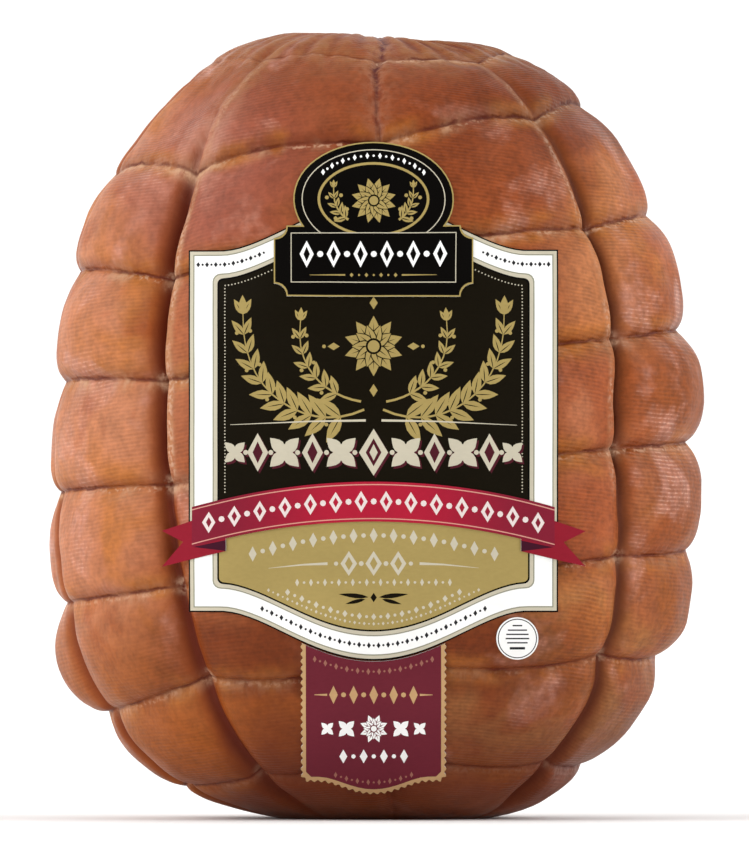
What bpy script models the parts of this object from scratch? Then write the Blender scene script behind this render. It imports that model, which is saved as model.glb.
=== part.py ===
"""Whole boneless black forest ham, standing on its flattened end.

The meat was pressed into a stretch net and smoked, so the net's cords left a grid of grooves round it
and the meat swells into a pillow inside each mesh. The net itself is gone. Thin printed labels lie on
the front. Metres, +Z up, front towards -Y, +X to the viewer's right.
"""

import math
import random

import bmesh
import bpy
import numpy as np
from mathutils import Vector, geometry, noise
from mathutils.bvhtree import BVHTree

# ---- the ham's form: a full, rounded block, widest a little below the middle ----
HAM_HEIGHT = 0.2525            # before the crown is dimpled
HALF_WIDTH = 0.1050
FRONT_DEPTH = 0.0810
BACK_DEPTH = 0.0827
WAIST_HEIGHT = 0.110          # where the ham is widest
TOP_FULLNESS = 2.43           # superellipse exponents: 2 is round, more is squarer
BOTTOM_FULLNESS = 2.7
PLAN_FULLNESS = 2.2
BASE_FLATTENED = 0.0020       # how much of the round end is pressed flat by standing
CROWN_LEAN = -0.0012          # the crown leans to the left
CROWN_LEAN_POWER = 6          # high, so that only the crown leans
CROWN_SLUMP = 0.0026          # the crown is lower on its right side
SLUMP_X = 0.020
SLUMP_HALF_WIDTH = 0.021
SLUMP_HEIGHTS = (0.215, 0.245)
FOOT_LEAN = 0.0034            # the foot is pushed to the right
FOOT_LEAN_HEIGHT = 0.012
RIGHT_TUCK = 0.036            # share by which the lower right is narrower
TUCK_HEIGHTS = (0.046, 0.062)

# ---- the net's eight upright cords, from the left side round the front to the back ----
# each: angle in degrees at the foot, the middle and the crown, then how deep it pressed in at each of them
UPRIGHTS = (
    (-78, -87.5, -84, 0.0062, 0.0066, 0.0035),
    (-29, -39, -42, 0.0055, 0.0066, 0.0016),
    (3.5, 1.5, 0.5, 0.0030, 0.0030, 0.0020),
    (54, 49.5, 43, 0.0050, 0.0048, 0.0026),
    (92, 94, 96, 0.0060, 0.0066, 0.0040),
    (143, 140, 137, 0.0055, 0.0066, 0.0030),
    (184, 186, 190, 0.0055, 0.0066, 0.0030),
    (236, 231, 229, 0.0060, 0.0066, 0.0030),
)
PULLED_CORD = 3                   # the one on the right of the front is pulled in below the middle
PULL_TURN = -2.9                  # in degrees
PULL_HEIGHTS = (0.034, 0.062, 0.125, 0.155)
FOOT_HEIGHTS = (0.045, 0.095)     # between them a cord's depth passes from its foot's to its middle's
CROWN_HEIGHTS = (0.195, 0.225)    # and from its middle's to its crown's
# ---- the cords that ring the ham, from the top ----
# each: its height at every upright cord, its bow between two of them, how deep it pressed in
RINGS = (
    ((0.2410, 0.2415, 0.2425, 0.2435, 0.2440, 0.2436, 0.2422, 0.2413), 0.0015, 0.0018),
    ((0.2057, 0.2074, 0.2157, 0.2246, 0.2283, 0.2244, 0.2132, 0.2065), 0.0036, 0.0034),
    ((0.1749, 0.1723, 0.1808, 0.1891, 0.1940, 0.1883, 0.1788, 0.1739), 0.0018, 0.0040),
    ((0.1392, 0.1397, 0.1458, 0.1532, 0.1567, 0.1521, 0.1442, 0.1393), 0.0006, 0.0042),
    ((0.1037, 0.1063, 0.1118, 0.1179, 0.1203, 0.1169, 0.1105, 0.1053), 0.0000, 0.0046),
    ((0.0677, 0.0738, 0.0783, 0.0834, 0.0861, 0.0821, 0.0774, 0.0714), -0.0008, 0.0034),
    ((0.0316, 0.0436, 0.0480, 0.0504, 0.0513, 0.0498, 0.0466, 0.0392), -0.0022, 0.0040),
    ((0.0090, 0.0126, 0.0180, 0.0143, 0.0150, 0.0165, 0.0170, 0.0110), -0.0016, 0.0032),
)
LEFT_PULL = 0.10              # share by which the rings are deeper at the left side
RIGHT_PULL = 0.40             # and at the right side
CORD_FLAT = 0.05              # share of a column's width that lies flat under the cords
UPRIGHT_PROFILE = ((0.6, 3), (0.4, 10))      # a groove's section: parts of the depth, each with its power
UNDERSIDE_PROFILE = ((0.75, 3), (0.25, 12))  # a pillow's underside, steep because the pillow hangs
TOPSIDE_POWER = 1.8           # its gentler top side
PEAK_SHIFT = 0.10             # its fullest place is lower on the left side and higher on the right
GROOVE_FADE_RADIUS = 0.75     # grooves get shallower where the radius is under this share
GROOVE_FADE_POWER = 1.2
CROWN_RING_REACH = 0.4        # share of the way in to the pole over which the top ring's groove fades
FOOT_RING_REACH = 0.5         # share of the way down to the base over which the lowest ring's fades
END_RING_POWER = 3
PILLOW_SPREAD = 0.0010        # how much one pillow may swell more or less than another
PILLOW_SEED = 11
# how much the pillow at a column and band swells beyond that
ODD_PILLOWS = {
    (0, 0): -0.0052, (7, 0): -0.0052, (3, 1): -0.0024, (4, 1): -0.0024, (0, 1): 0.0010, (7, 1): 0.0014,
    (0, 2): 0.0012, (7, 2): 0.0018, (0, 3): -0.0004, (7, 3): -0.0016, (3, 3): 0.0028, (4, 3): 0.0028,
    (3, 4): 0.0008, (3, 5): 0.0008, (7, 4): 0.0014, (7, 5): 0.0048, (3, 6): -0.0006, (4, 6): -0.0006,
}
LUMP_SIZE = 0.045
LUMP_DEPTH = 0.0012
CROWN_DIMPLE = 0.004          # the gathered centre of the crown
CROWN_DIMPLE_WIDTH = 0.20     # as a share of the ham's radius

# ---- how finely the solid is faceted ----
COLUMN_STOPS = (0.0, 0.05, 0.14, 0.30, 0.50, 0.70, 0.86, 0.95)
BAND_STOPS = (0.0, 0.07, 0.20, 0.40, 0.60, 0.80, 0.93)
CROWN_STOPS = (0.0, 0.08, 0.22, 0.40, 0.60, 0.80, 0.92)
BASE_STOPS = (0.0, 0.12, 0.35, 0.65, 0.88, 1.0)
SHARP_ANGLE = 60

# ---- the labels, seen from the front; each follows the meat under it ----
LABEL_X = -0.0006             # the labels' common centre line
LABEL_THICKNESS = 0.0004
LABEL_LIFT = 0.0007           # underside of the lower labels above the meat
UPPER_LIFT = 0.0014           # underside of those that lie on the panel
LABEL_GRID = 0.0055           # spacing of a label's inner points
LABEL_RIM = 0.0018            # how far they stay from its outline
LABEL_EDGE = 0.005            # longest step along its outline
MERGE_DISTANCE = 1e-7
DRAPE_STEP = 0.002
DRAPE_RADIUS = 0.060          # the tightest hollow a label follows
DRAPE_SLOPE = 2.0             # the steepest that a label lies
DRAPE_X = (-0.068, 0.068)
DRAPE_Z = (0.006, 0.2165)
BEYOND_DRAPE = -1.0           # far behind the meat, so that nothing outside the grid props a label up
SLOPE_REACH = 0.003           # half the distance over which a label's slope is taken

PANEL_HALF_WIDTH = 0.0580
PANEL_TOP = 0.1803            # height of the panel's upper corners
PANEL_BOTTOM = 0.0662
PANEL_WAVE_HALF_WIDTH = 0.0475
PANEL_WAVE_RISE = 0.0150
WAVE_FULLNESS = 0.85          # under 1, so that a wave is fuller towards its middle

BANNER_HALF_WIDTH = 0.0567
BANNER_TOP = 0.1073           # height of its upper edge in the middle
BANNER_WIDTH = 0.0125
BANNER_ARC_RADIUS = 0.200
BANNER_FOLD = 0.0105          # how far in from the band's end its tail is folded out
# the tail's corners: distance out from the band's end, and height over the end's lower corner
BANNER_TAIL = (
    (-BANNER_FOLD, 0.0022),
    (-BANNER_FOLD, -0.0012),
    (0.0000, -0.0038),
    (0.0096, -0.0062),
    (0.0028, 0.0016),
    (0.0096, 0.0050),
    (0.0000, 0.0082),
)

MEDALLION_CENTRE = 0.1961
MEDALLION_HALF_WIDTH = 0.0252
MEDALLION_HALF_HEIGHT = 0.0181
PLATE_HALF_WIDTH = 0.0313
PLATE_TOP = 0.1880
PLATE_BOTTOM = 0.1655
PLATE_CORNER = 0.0040

TAB_HALF_WIDTH = 0.0227
TAB_BOTTOM = 0.0130
TAB_DIP = 0.0040
TAB_WAVE_HALF_WIDTH = 0.0170
TAB_CORNER = 0.0016
TAB_GAP = 0.0004              # between the panel's lower edge and the tab

SEAL_CENTRE = (0.0446, 0.0580)
SEAL_RADIUS = 0.0066

# ---- how many steps the labels' outlines take ----
PANEL_STEPS = 24
BANNER_STEPS = 16
CORNER_STEPS = 4
OVAL_STEPS = 11
TAB_STEPS = 12
SEAL_STEPS = 28


def signed_power(value, exponent):
    return math.copysign(abs(value) ** exponent, value)


def eased(value, low, high):
    """0 under low, 1 over high, and a smooth step between them."""
    share = min(1.0, max(0.0, (value - low) / (high - low)))
    return share * share * (3 - 2 * share)


def form_radius(height):
    """The form's radius at a height, as a share of its widest."""
    if height >= WAIST_HEIGHT:
        reach = (height - WAIST_HEIGHT) / (HAM_HEIGHT - WAIST_HEIGHT)
        fullness = TOP_FULLNESS
    else:
        reach = (WAIST_HEIGHT - height) / (WAIST_HEIGHT + BASE_FLATTENED)
        fullness = BOTTOM_FULLNESS
    return max(0.0, 1 - reach**fullness) ** (1 / fullness)


def crown_height(radius):
    """The form's height on the crown, from its radius."""
    rise = max(0.0, 1 - radius**TOP_FULLNESS) ** (1 / TOP_FULLNESS)
    return WAIST_HEIGHT + (HAM_HEIGHT - WAIST_HEIGHT) * rise


def form_point(angle, radius, height):
    depth = FRONT_DEPTH if math.cos(angle) > 0 else BACK_DEPTH
    corner = 2 / PLAN_FULLNESS
    x = HALF_WIDTH * radius * signed_power(math.sin(angle), corner)
    y = -depth * radius * signed_power(math.cos(angle), corner)
    if x > 0:
        x *= 1 - RIGHT_TUCK * (1 - eased(height, *TUCK_HEIGHTS))
    return Vector((x, y, height))


def form_normal(point):
    """Outward normal of the form, from the gradient of its superellipsoid."""
    x, y, height = point
    depth = FRONT_DEPTH if y < 0 else BACK_DEPTH
    if height >= WAIST_HEIGHT:
        reach, fullness, upward = HAM_HEIGHT - WAIST_HEIGHT, TOP_FULLNESS, 1
    else:
        reach, fullness, upward = WAIST_HEIGHT + BASE_FLATTENED, BOTTOM_FULLNESS, -1
    plan = abs(x / HALF_WIDTH) ** PLAN_FULLNESS + abs(y / depth) ** PLAN_FULLNESS
    share = max(plan, 1e-9) ** (fullness / PLAN_FULLNESS - 1)
    across = share * abs(x / HALF_WIDTH) ** (PLAN_FULLNESS - 1) / HALF_WIDTH
    along = share * abs(y / depth) ** (PLAN_FULLNESS - 1) / depth
    up = abs((height - WAIST_HEIGHT) / reach) ** (fullness - 1) / reach
    return Vector((math.copysign(across, x), math.copysign(along, y), upward * up)).normalized()


def upright_angle(index, height):
    """Where an upright cord runs, in radians round the ham: a parabola through its three angles."""
    turns, index = divmod(index, len(UPRIGHTS))
    base, middle, crown = UPRIGHTS[index][:3]
    up = height / HAM_HEIGHT
    angle = base * (1 - 2 * up) * (1 - up) + middle * 4 * up * (1 - up) + crown * up * (2 * up - 1)
    if index == PULLED_CORD:
        angle += PULL_TURN * eased(height, *PULL_HEIGHTS[:2]) * (1 - eased(height, *PULL_HEIGHTS[2:]))
    return math.radians(angle + 360 * turns)


def column_angle(column, share, height):
    left = upright_angle(column, height)
    return left + share * (upright_angle(column + 1, height) - left)


def upright_depth(index, height):
    foot, middle, crown = UPRIGHTS[index % len(UPRIGHTS)][3:]
    depth = foot + (middle - foot) * eased(height, *FOOT_HEIGHTS)
    return depth + (crown - middle) * eased(height, *CROWN_HEIGHTS)


def ring_height(ring, column, share):
    heights, bow, _ = RINGS[ring]
    left, right = heights[column], heights[(column + 1) % len(heights)]
    return left + share * (right - left) + bow * math.sin(math.pi * share)


def ring_depth(ring, angle):
    across = math.sin(angle)
    pull = LEFT_PULL if across < 0 else RIGHT_PULL
    return RINGS[ring][2] * (1 + pull * across**2)


def upright_press(share):
    """How far in the meat is pressed across a column: 1 under the cords, 0 in the middle."""
    edge = min(1.0, abs(2 * share - 1) / (1 - CORD_FLAT))
    return sum(part * edge**power for part, power in UPRIGHT_PROFILE)


def ring_press(down, angle):
    """The same down a pillow, which hangs: its top slopes and its underside turns in steeply."""
    peak = 0.5 - PEAK_SHIFT * math.sin(angle)
    if down < peak:
        return (1 - down / peak) ** TOPSIDE_POWER
    under = (down - peak) / (1 - peak)
    return sum(part * under**power for part, power in UNDERSIDE_PROFILE)


swell_draws = random.Random(PILLOW_SEED)
SWELLS = [[swell_draws.uniform(-PILLOW_SPREAD, PILLOW_SPREAD) + ODD_PILLOWS.get((column, band), 0)
           for band in range(len(RINGS) - 1)] for column in range(len(UPRIGHTS))]


def pillow_swell(column, band, share, down):
    """How much more than the form a pillow swells: nothing at its cords, all of it in its middle."""
    return SWELLS[column][band] * 4 * share * (1 - share) * 4 * down * (1 - down)


def pressed(point, radius, column, share, ring_groove, swell):
    """Moves a point of the form inwards, by the cords that pressed it there."""
    nearest = column if share < 0.5 else column + 1
    upright_groove = upright_depth(nearest, point.z) * upright_press(share)
    fade = min(1.0, radius / GROOVE_FADE_RADIUS) ** GROOVE_FADE_POWER
    depth = math.hypot(upright_groove, ring_groove) * fade
    lump = LUMP_DEPTH * fade * noise.noise(point / LUMP_SIZE)
    moved = point - form_normal(point) * (depth - swell - lump)
    moved.x += CROWN_LEAN * (moved.z / HAM_HEIGHT) ** CROWN_LEAN_POWER
    moved.x += FOOT_LEAN * (1 - eased(moved.z, 0.0, FOOT_LEAN_HEIGHT))
    slump = CROWN_SLUMP * math.exp(-(((moved.x - SLUMP_X) / SLUMP_HALF_WIDTH) ** 2))
    moved.z -= slump * eased(moved.z, *SLUMP_HEIGHTS)
    return moved


def band_point(column, share, band, down):
    high = ring_height(band, column, share)
    low = ring_height(band + 1, column, share)
    height = high + down * (low - high)
    angle = column_angle(column, share, height)
    radius = form_radius(height)
    swell = pillow_swell(column, band, share, down)
    nearest = band if down < 0.5 else band + 1
    groove = ring_depth(nearest, angle) * ring_press(down, angle)
    return pressed(form_point(angle, radius, height), radius, column, share, groove, swell)


def crown_point(column, share, inward):
    """From the top ring to the pole, where the net was gathered."""
    edge = form_radius(ring_height(0, column, share))
    radius = edge * (1 - inward)
    height = crown_height(radius)
    angle = column_angle(column, share, height)
    groove = ring_depth(0, angle) * max(0.0, 1 - inward / CROWN_RING_REACH) ** END_RING_POWER
    moved = pressed(form_point(angle, radius, height), radius, column, share, groove, 0.0)
    moved.z -= CROWN_DIMPLE * math.exp(-((radius / CROWN_DIMPLE_WIDTH) ** 2))
    return moved


def base_point(column, share, down):
    """From the lowest ring to the flat spot that the ham stands on."""
    lowest = len(RINGS) - 1
    height = ring_height(lowest, column, share) * (1 - down)
    radius = form_radius(height)
    angle = column_angle(column, share, height)
    groove = ring_depth(lowest, angle) * max(0.0, 1 - down / FOOT_RING_REACH) ** END_RING_POWER
    moved = pressed(form_point(angle, radius, height), radius, column, share, groove, 0.0)
    if down == 1:
        moved.z = 0.0
    return moved


def ham_rings():
    """Rows of points round the ham, from the flat base up to the crown."""
    stops = [(column, share) for column in range(len(UPRIGHTS)) for share in COLUMN_STOPS]
    rows = [[base_point(c, s, down) for c, s in stops] for down in reversed(BASE_STOPS[1:])]
    for band in reversed(range(len(RINGS) - 1)):
        downs = list(reversed(BAND_STOPS))
        if band == len(RINGS) - 2:
            downs.insert(0, 1.0)
        rows += [[band_point(c, s, band, down) for c, s in stops] for down in downs]
    rows += [[crown_point(c, s, inward) for c, s in stops] for inward in CROWN_STOPS[1:]]
    return rows


def material(name, colour, roughness, metallic=0.0):
    made = bpy.data.materials.new(name)
    made.use_nodes = True
    shader = made.node_tree.nodes["Principled BSDF"]
    shader.inputs["Base Color"].default_value = (*colour, 1.0)
    shader.inputs["Roughness"].default_value = roughness
    shader.inputs["Metallic"].default_value = metallic
    made.diffuse_color = (*colour, 1.0)
    return made


def finish_object(name, bm, finish):
    bmesh.ops.recalc_face_normals(bm, faces=bm.faces)
    mesh = bpy.data.meshes.new(name)
    bm.to_mesh(mesh)
    bm.free()
    mesh.shade_smooth()
    mesh.set_sharp_from_angle(angle=math.radians(SHARP_ANGLE))
    mesh.materials.append(finish)
    made = bpy.data.objects.new(name, mesh)
    bpy.context.scene.collection.objects.link(made)
    return made


def make_ham():
    bm = bmesh.new()
    rows = [[bm.verts.new(point) for point in row] for row in ham_rings()]
    for lower, upper in zip(rows, rows[1:]):
        for i in range(len(lower)):
            j = (i + 1) % len(lower)
            bm.faces.new((lower[i], lower[j], upper[j], upper[i]))
    bm.faces.new(list(reversed(rows[0])))
    top = sum((vert.co for vert in rows[-1]), Vector()) / len(rows[-1])
    pole = bm.verts.new(top)
    for i in range(len(rows[-1])):
        bm.faces.new((rows[-1][i], rows[-1][(i + 1) % len(rows[-1])], pole))
    return finish_object("ham", bm, material("smoked_meat", (0.42, 0.165, 0.085), 0.45))


def spread_parabola(field, step, axis):
    """Grows a height field by a parabola along one axis."""
    place = np.arange(field.shape[axis]) * step
    fall = (place[:, None] - place[None, :]) ** 2 / (2 * DRAPE_RADIUS)
    lines = np.moveaxis(field, axis, 0)
    grown = np.stack([(lines - fall[i][:, None]).max(axis=0) for i in range(len(place))])
    return np.moveaxis(grown, 0, axis)


def drape_field(ham):
    """How far in front of the ham's axis a taut label lies, on a grid seen from the front.

    The meat's own surface is closed by a parabola, so that the labels bridge the narrow grooves.
    """
    bm = bmesh.new()
    bm.from_mesh(ham.data)
    tree = BVHTree.FromBMesh(bm)
    bm.free()
    across = np.arange(DRAPE_X[0], DRAPE_X[1] + DRAPE_STEP / 2, DRAPE_STEP)
    upward = np.arange(DRAPE_Z[0], DRAPE_Z[1] + DRAPE_STEP / 2, DRAPE_STEP)
    front = np.zeros((len(across), len(upward)))
    start = -2 * FRONT_DEPTH
    for i, x in enumerate(across):
        for j, z in enumerate(upward):
            hit = tree.ray_cast(Vector((x, start, z)), Vector((0, 1, 0)))[0]
            front[i, j] = -hit.y if hit else 0.0
    margin = round(DRAPE_SLOPE * DRAPE_RADIUS / DRAPE_STEP)
    padded = np.pad(front, margin, constant_values=BEYOND_DRAPE)
    grown = spread_parabola(spread_parabola(padded, DRAPE_STEP, 0), DRAPE_STEP, 1)
    closed = -spread_parabola(spread_parabola(-grown, DRAPE_STEP, 0), DRAPE_STEP, 1)
    return closed[margin:-margin, margin:-margin]


def drape_depth(field, x, z):
    """The field between its grid points."""
    across = (x - DRAPE_X[0]) / DRAPE_STEP
    upward = (z - DRAPE_Z[0]) / DRAPE_STEP
    i = min(max(int(across), 0), field.shape[0] - 2)
    j = min(max(int(upward), 0), field.shape[1] - 2)
    u, v = across - i, upward - j
    near = field[i, j] * (1 - u) + field[i + 1, j] * u
    far = field[i, j + 1] * (1 - u) + field[i + 1, j + 1] * u
    return near * (1 - v) + far * v


def drape_point(field, x, z, lift):
    """A point lifted off the field along its normal."""
    across = drape_depth(field, x + SLOPE_REACH, z) - drape_depth(field, x - SLOPE_REACH, z)
    upward = drape_depth(field, x, z + SLOPE_REACH) - drape_depth(field, x, z - SLOPE_REACH)
    slope_x, slope_z = across / (2 * SLOPE_REACH), upward / (2 * SLOPE_REACH)
    outward = Vector((-slope_x, -1, -slope_z)).normalized()
    return Vector((x, -drape_depth(field, x, z), z)) + outward * lift


def subdivided(outline, longest):
    """A closed outline with its long sides split."""
    points = []
    for start, end in zip(outline, outline[1:] + outline[:1]):
        steps = max(1, math.ceil(math.dist(start, end) / longest))
        for step in range(steps):
            share = step / steps
            points.append((start[0] + share * (end[0] - start[0]), start[1] + share * (end[1] - start[1])))
    return points


def make_label(name, field, outline, lift, finish):
    """A thin plate with the outline given, laid on the field."""
    rim = subdivided(outline, LABEL_EDGE)
    xs, zs = zip(*rim)
    inner = []
    for i in range(int((max(xs) - min(xs)) / LABEL_GRID) + 1):
        for j in range(int((max(zs) - min(zs)) / LABEL_GRID) + 1):
            point = (min(xs) + (i + 0.5) * LABEL_GRID, min(zs) + (j + 0.5) * LABEL_GRID)
            if min(math.dist(point, other) for other in rim) > LABEL_RIM:
                inner.append(point)
    edges = [(i, (i + 1) % len(rim)) for i in range(len(rim))]
    flat = [Vector(point) for point in rim + inner]
    places, _, faces, _, _, _ = geometry.delaunay_2d_cdt(flat, edges, [], 1, MERGE_DISTANCE)
    used = sorted({index for face in faces for index in face})
    bm = bmesh.new()
    outer = {k: bm.verts.new(drape_point(field, *places[k], lift + LABEL_THICKNESS)) for k in used}
    under = {k: bm.verts.new(drape_point(field, *places[k], lift)) for k in used}
    for face in faces:
        bm.faces.new([outer[k] for k in face])
        bm.faces.new([under[k] for k in reversed(face)])
    sides = [(a, b) for face in faces for a, b in zip(face, face[1:] + face[:1])]
    inner_sides = set(sides)
    for a, b in sides:
        if (b, a) not in inner_sides:
            bm.faces.new((outer[b], outer[a], under[a], under[b]))
    return finish_object(name, bm, finish)


def wave(share):
    """A smooth step from 0 at the wave's end to 1 in the middle, fuller towards the middle."""
    return (1 - math.cos(math.pi * max(0.0, share) ** WAVE_FULLNESS)) / 2


def waved_edge(half_width, wave_half_width, depth, steps):
    """(x, offset) along an edge that is straight at its ends and waved in the middle."""
    wavy = [wave_half_width * (2 * i / steps - 1) for i in range(steps + 1)]
    places = [-half_width] + wavy + [half_width]
    return [(x, depth * wave(1 - abs(x) / wave_half_width)) for x in places]


def panel_outline():
    lower = waved_edge(PANEL_HALF_WIDTH, PANEL_WAVE_HALF_WIDTH, PANEL_WAVE_RISE, PANEL_STEPS)
    bottom = [(LABEL_X + x, PANEL_BOTTOM - drop) for x, drop in lower]
    top = [(LABEL_X + x, PANEL_TOP + rise) for x, rise in reversed(lower)]
    return bottom + top


def banner_height(x):
    """The arched band's upper edge."""
    return BANNER_TOP - x**2 / (2 * BANNER_ARC_RADIUS)


def banner_outline():
    """An arched band with a swallow-tailed end folded out at each side."""
    places = [BANNER_HALF_WIDTH * (2 * i / BANNER_STEPS - 1) for i in range(BANNER_STEPS + 1)]
    end_bottom = banner_height(BANNER_HALF_WIDTH) - BANNER_WIDTH
    tail = [(BANNER_HALF_WIDTH + out, end_bottom + rise) for out, rise in BANNER_TAIL]
    fold = BANNER_HALF_WIDTH - BANNER_FOLD
    lower = [(x, banner_height(x) - BANNER_WIDTH) for x in places if abs(x) < fold]
    upper = [(x, banner_height(x)) for x in reversed(places)]
    mirrored = [(-x, z) for x, z in reversed(tail)]
    return [(LABEL_X + x, z) for x, z in lower + tail + upper + mirrored]


def medallion_outline():
    """An oval that rises from a plate with hollowed corners."""
    corner = []
    for i in range(CORNER_STEPS + 1):
        turn = math.radians(90 * i / CORNER_STEPS)
        corner.append((PLATE_HALF_WIDTH - PLATE_CORNER * math.cos(turn), PLATE_CORNER * math.sin(turn)))
    right = [(x, PLATE_BOTTOM + z) for x, z in corner]
    right += [(x, PLATE_TOP - z) for x, z in reversed(corner)]
    start = math.asin((PLATE_TOP - MEDALLION_CENTRE) / MEDALLION_HALF_HEIGHT)
    for i in range(OVAL_STEPS):
        turn = start + (math.pi / 2 - start) * i / OVAL_STEPS
        x, rise = MEDALLION_HALF_WIDTH * math.cos(turn), MEDALLION_HALF_HEIGHT * math.sin(turn)
        right.append((x, MEDALLION_CENTRE + rise))
    top = [(0.0, MEDALLION_CENTRE + MEDALLION_HALF_HEIGHT)]
    left = [(-x, z) for x, z in reversed(right)]
    return [(LABEL_X + x, z) for x, z in right + top + left]


def tab_outline():
    """Hangs from under the panel and ends in a shallow ogee."""
    lower = waved_edge(TAB_HALF_WIDTH - TAB_CORNER, TAB_WAVE_HALF_WIDTH, TAB_DIP, TAB_STEPS)
    bottom = [(x, TAB_BOTTOM - drop) for x, drop in lower]
    side = TAB_BOTTOM + TAB_CORNER
    top = []
    for i in range(TAB_STEPS + 1):
        x = TAB_HALF_WIDTH * (1 - 2 * i / TAB_STEPS)
        panel_edge = PANEL_BOTTOM - PANEL_WAVE_RISE * wave(1 - abs(x) / PANEL_WAVE_HALF_WIDTH)
        top.append((x, panel_edge - TAB_GAP))
    outline = bottom + [(TAB_HALF_WIDTH, side)] + top + [(-TAB_HALF_WIDTH, side)]
    return [(LABEL_X + x, z) for x, z in outline]


def seal_outline():
    x, z = SEAL_CENTRE
    turns = [2 * math.pi * i / SEAL_STEPS for i in range(SEAL_STEPS)]
    return [(x + SEAL_RADIUS * math.cos(turn), z + SEAL_RADIUS * math.sin(turn)) for turn in turns]


for old in list(bpy.data.objects):
    bpy.data.objects.remove(old)

ham_object = make_ham()
lie = drape_field(ham_object)
panel_print = material("panel_print", (0.72, 0.66, 0.50), 0.42)
make_label("label_panel", lie, panel_outline(), LABEL_LIFT, panel_print)
tab_print = material("tab_print", (0.147, 0.021, 0.033), 0.42)
make_label("label_tab", lie, tab_outline(), LABEL_LIFT, tab_print)
seal_print = material("seal_print", (0.88, 0.88, 0.86), 0.42)
make_label("label_seal", lie, seal_outline(), LABEL_LIFT, seal_print)
banner_print = material("banner_print", (0.33, 0.025, 0.035), 0.42)
make_label("label_banner", lie, banner_outline(), UPPER_LIFT, banner_print)
medallion_print = material("medallion_print", (0.01, 0.009, 0.008), 0.35)
make_label("label_medallion", lie, medallion_outline(), UPPER_LIFT, medallion_print)
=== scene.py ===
import math
import random
from functools import reduce

import bpy
import numpy as np
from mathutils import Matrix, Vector, geometry, noise
from mathutils.bvhtree import BVHTree


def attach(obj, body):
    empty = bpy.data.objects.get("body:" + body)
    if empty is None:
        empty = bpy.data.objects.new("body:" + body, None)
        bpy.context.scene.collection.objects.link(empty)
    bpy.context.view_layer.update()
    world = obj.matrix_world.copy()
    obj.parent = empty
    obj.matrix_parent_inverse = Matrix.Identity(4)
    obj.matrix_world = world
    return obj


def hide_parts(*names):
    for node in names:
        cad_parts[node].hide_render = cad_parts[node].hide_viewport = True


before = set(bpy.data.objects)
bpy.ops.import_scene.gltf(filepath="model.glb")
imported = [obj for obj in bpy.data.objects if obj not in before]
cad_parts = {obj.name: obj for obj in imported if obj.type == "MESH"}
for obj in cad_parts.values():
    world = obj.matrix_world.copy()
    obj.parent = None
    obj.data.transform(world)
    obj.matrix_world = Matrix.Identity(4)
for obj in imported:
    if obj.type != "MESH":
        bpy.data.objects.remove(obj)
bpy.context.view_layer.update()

# ---- The ham ----
# One boneless leg of cured pork, stuffed into a ribbed casing inside a stretch net, then pressed and smoked.
# The net is gone: its cords left eight upright and eight ring grooves, and the meat swells into a pillow in
# each mesh. It stands on its flattened end, and the casing was gathered at the crown. Sizes are in metres.
HAM_HEIGHT = 0.2525
HALF_WIDTH = 0.1050
FRONT_DEPTH = 0.0810
BACK_DEPTH = 0.0827
WAIST_HEIGHT = 0.110
TOP_FULLNESS = 2.43
BOTTOM_FULLNESS = 2.7
PLAN_FULLNESS = 2.2
BASE_FLATTENED = 0.0020
CROWN_LEAN = -0.0012
CROWN_LEAN_POWER = 6
CROWN_SLUMP = 0.0026           # the crown is lower on its right side
SLUMP_X = 0.020
SLUMP_HALF_WIDTH = 0.021
SLUMP_HEIGHTS = (0.215, 0.245)
FOOT_LEAN = 0.0034
FOOT_LEAN_HEIGHT = 0.012
RIGHT_TUCK = 0.036             # the lower right is narrower
TUCK_HEIGHTS = (0.046, 0.062)
# the upright cords: angle in degrees at the foot, the middle and the crown, then how deep each pressed in
CORDS = np.array((
    (-78, -87.5, -84, 0.0062, 0.0066, 0.0035),
    (-29, -39, -42, 0.0055, 0.0066, 0.0016),
    (3.5, 1.5, 0.5, 0.0030, 0.0030, 0.0020),
    (54, 49.5, 43, 0.0050, 0.0048, 0.0026),
    (92, 94, 96, 0.0060, 0.0066, 0.0040),
    (143, 140, 137, 0.0055, 0.0066, 0.0030),
    (184, 186, 190, 0.0055, 0.0066, 0.0030),
    (236, 231, 229, 0.0060, 0.0066, 0.0030),
))
DEEPEST_CORD = 0.0066
PULLED_CORD = 3                # the one on the right of the front is pulled in below the middle
PULL_TURN = -2.9
PULL_HEIGHTS = (0.034, 0.062, 0.125, 0.155)
FOOT_HEIGHTS = (0.045, 0.095)  # between them a cord's depth passes from its foot's to its middle's
CROWN_HEIGHTS = (0.195, 0.225)
# which side of each cord is the inner one, towards the middle of the front or back: 1 is the right side
CORD_INSIDE = np.array((1, 1, 0, -1, -1, -1, 0, 1))
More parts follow.
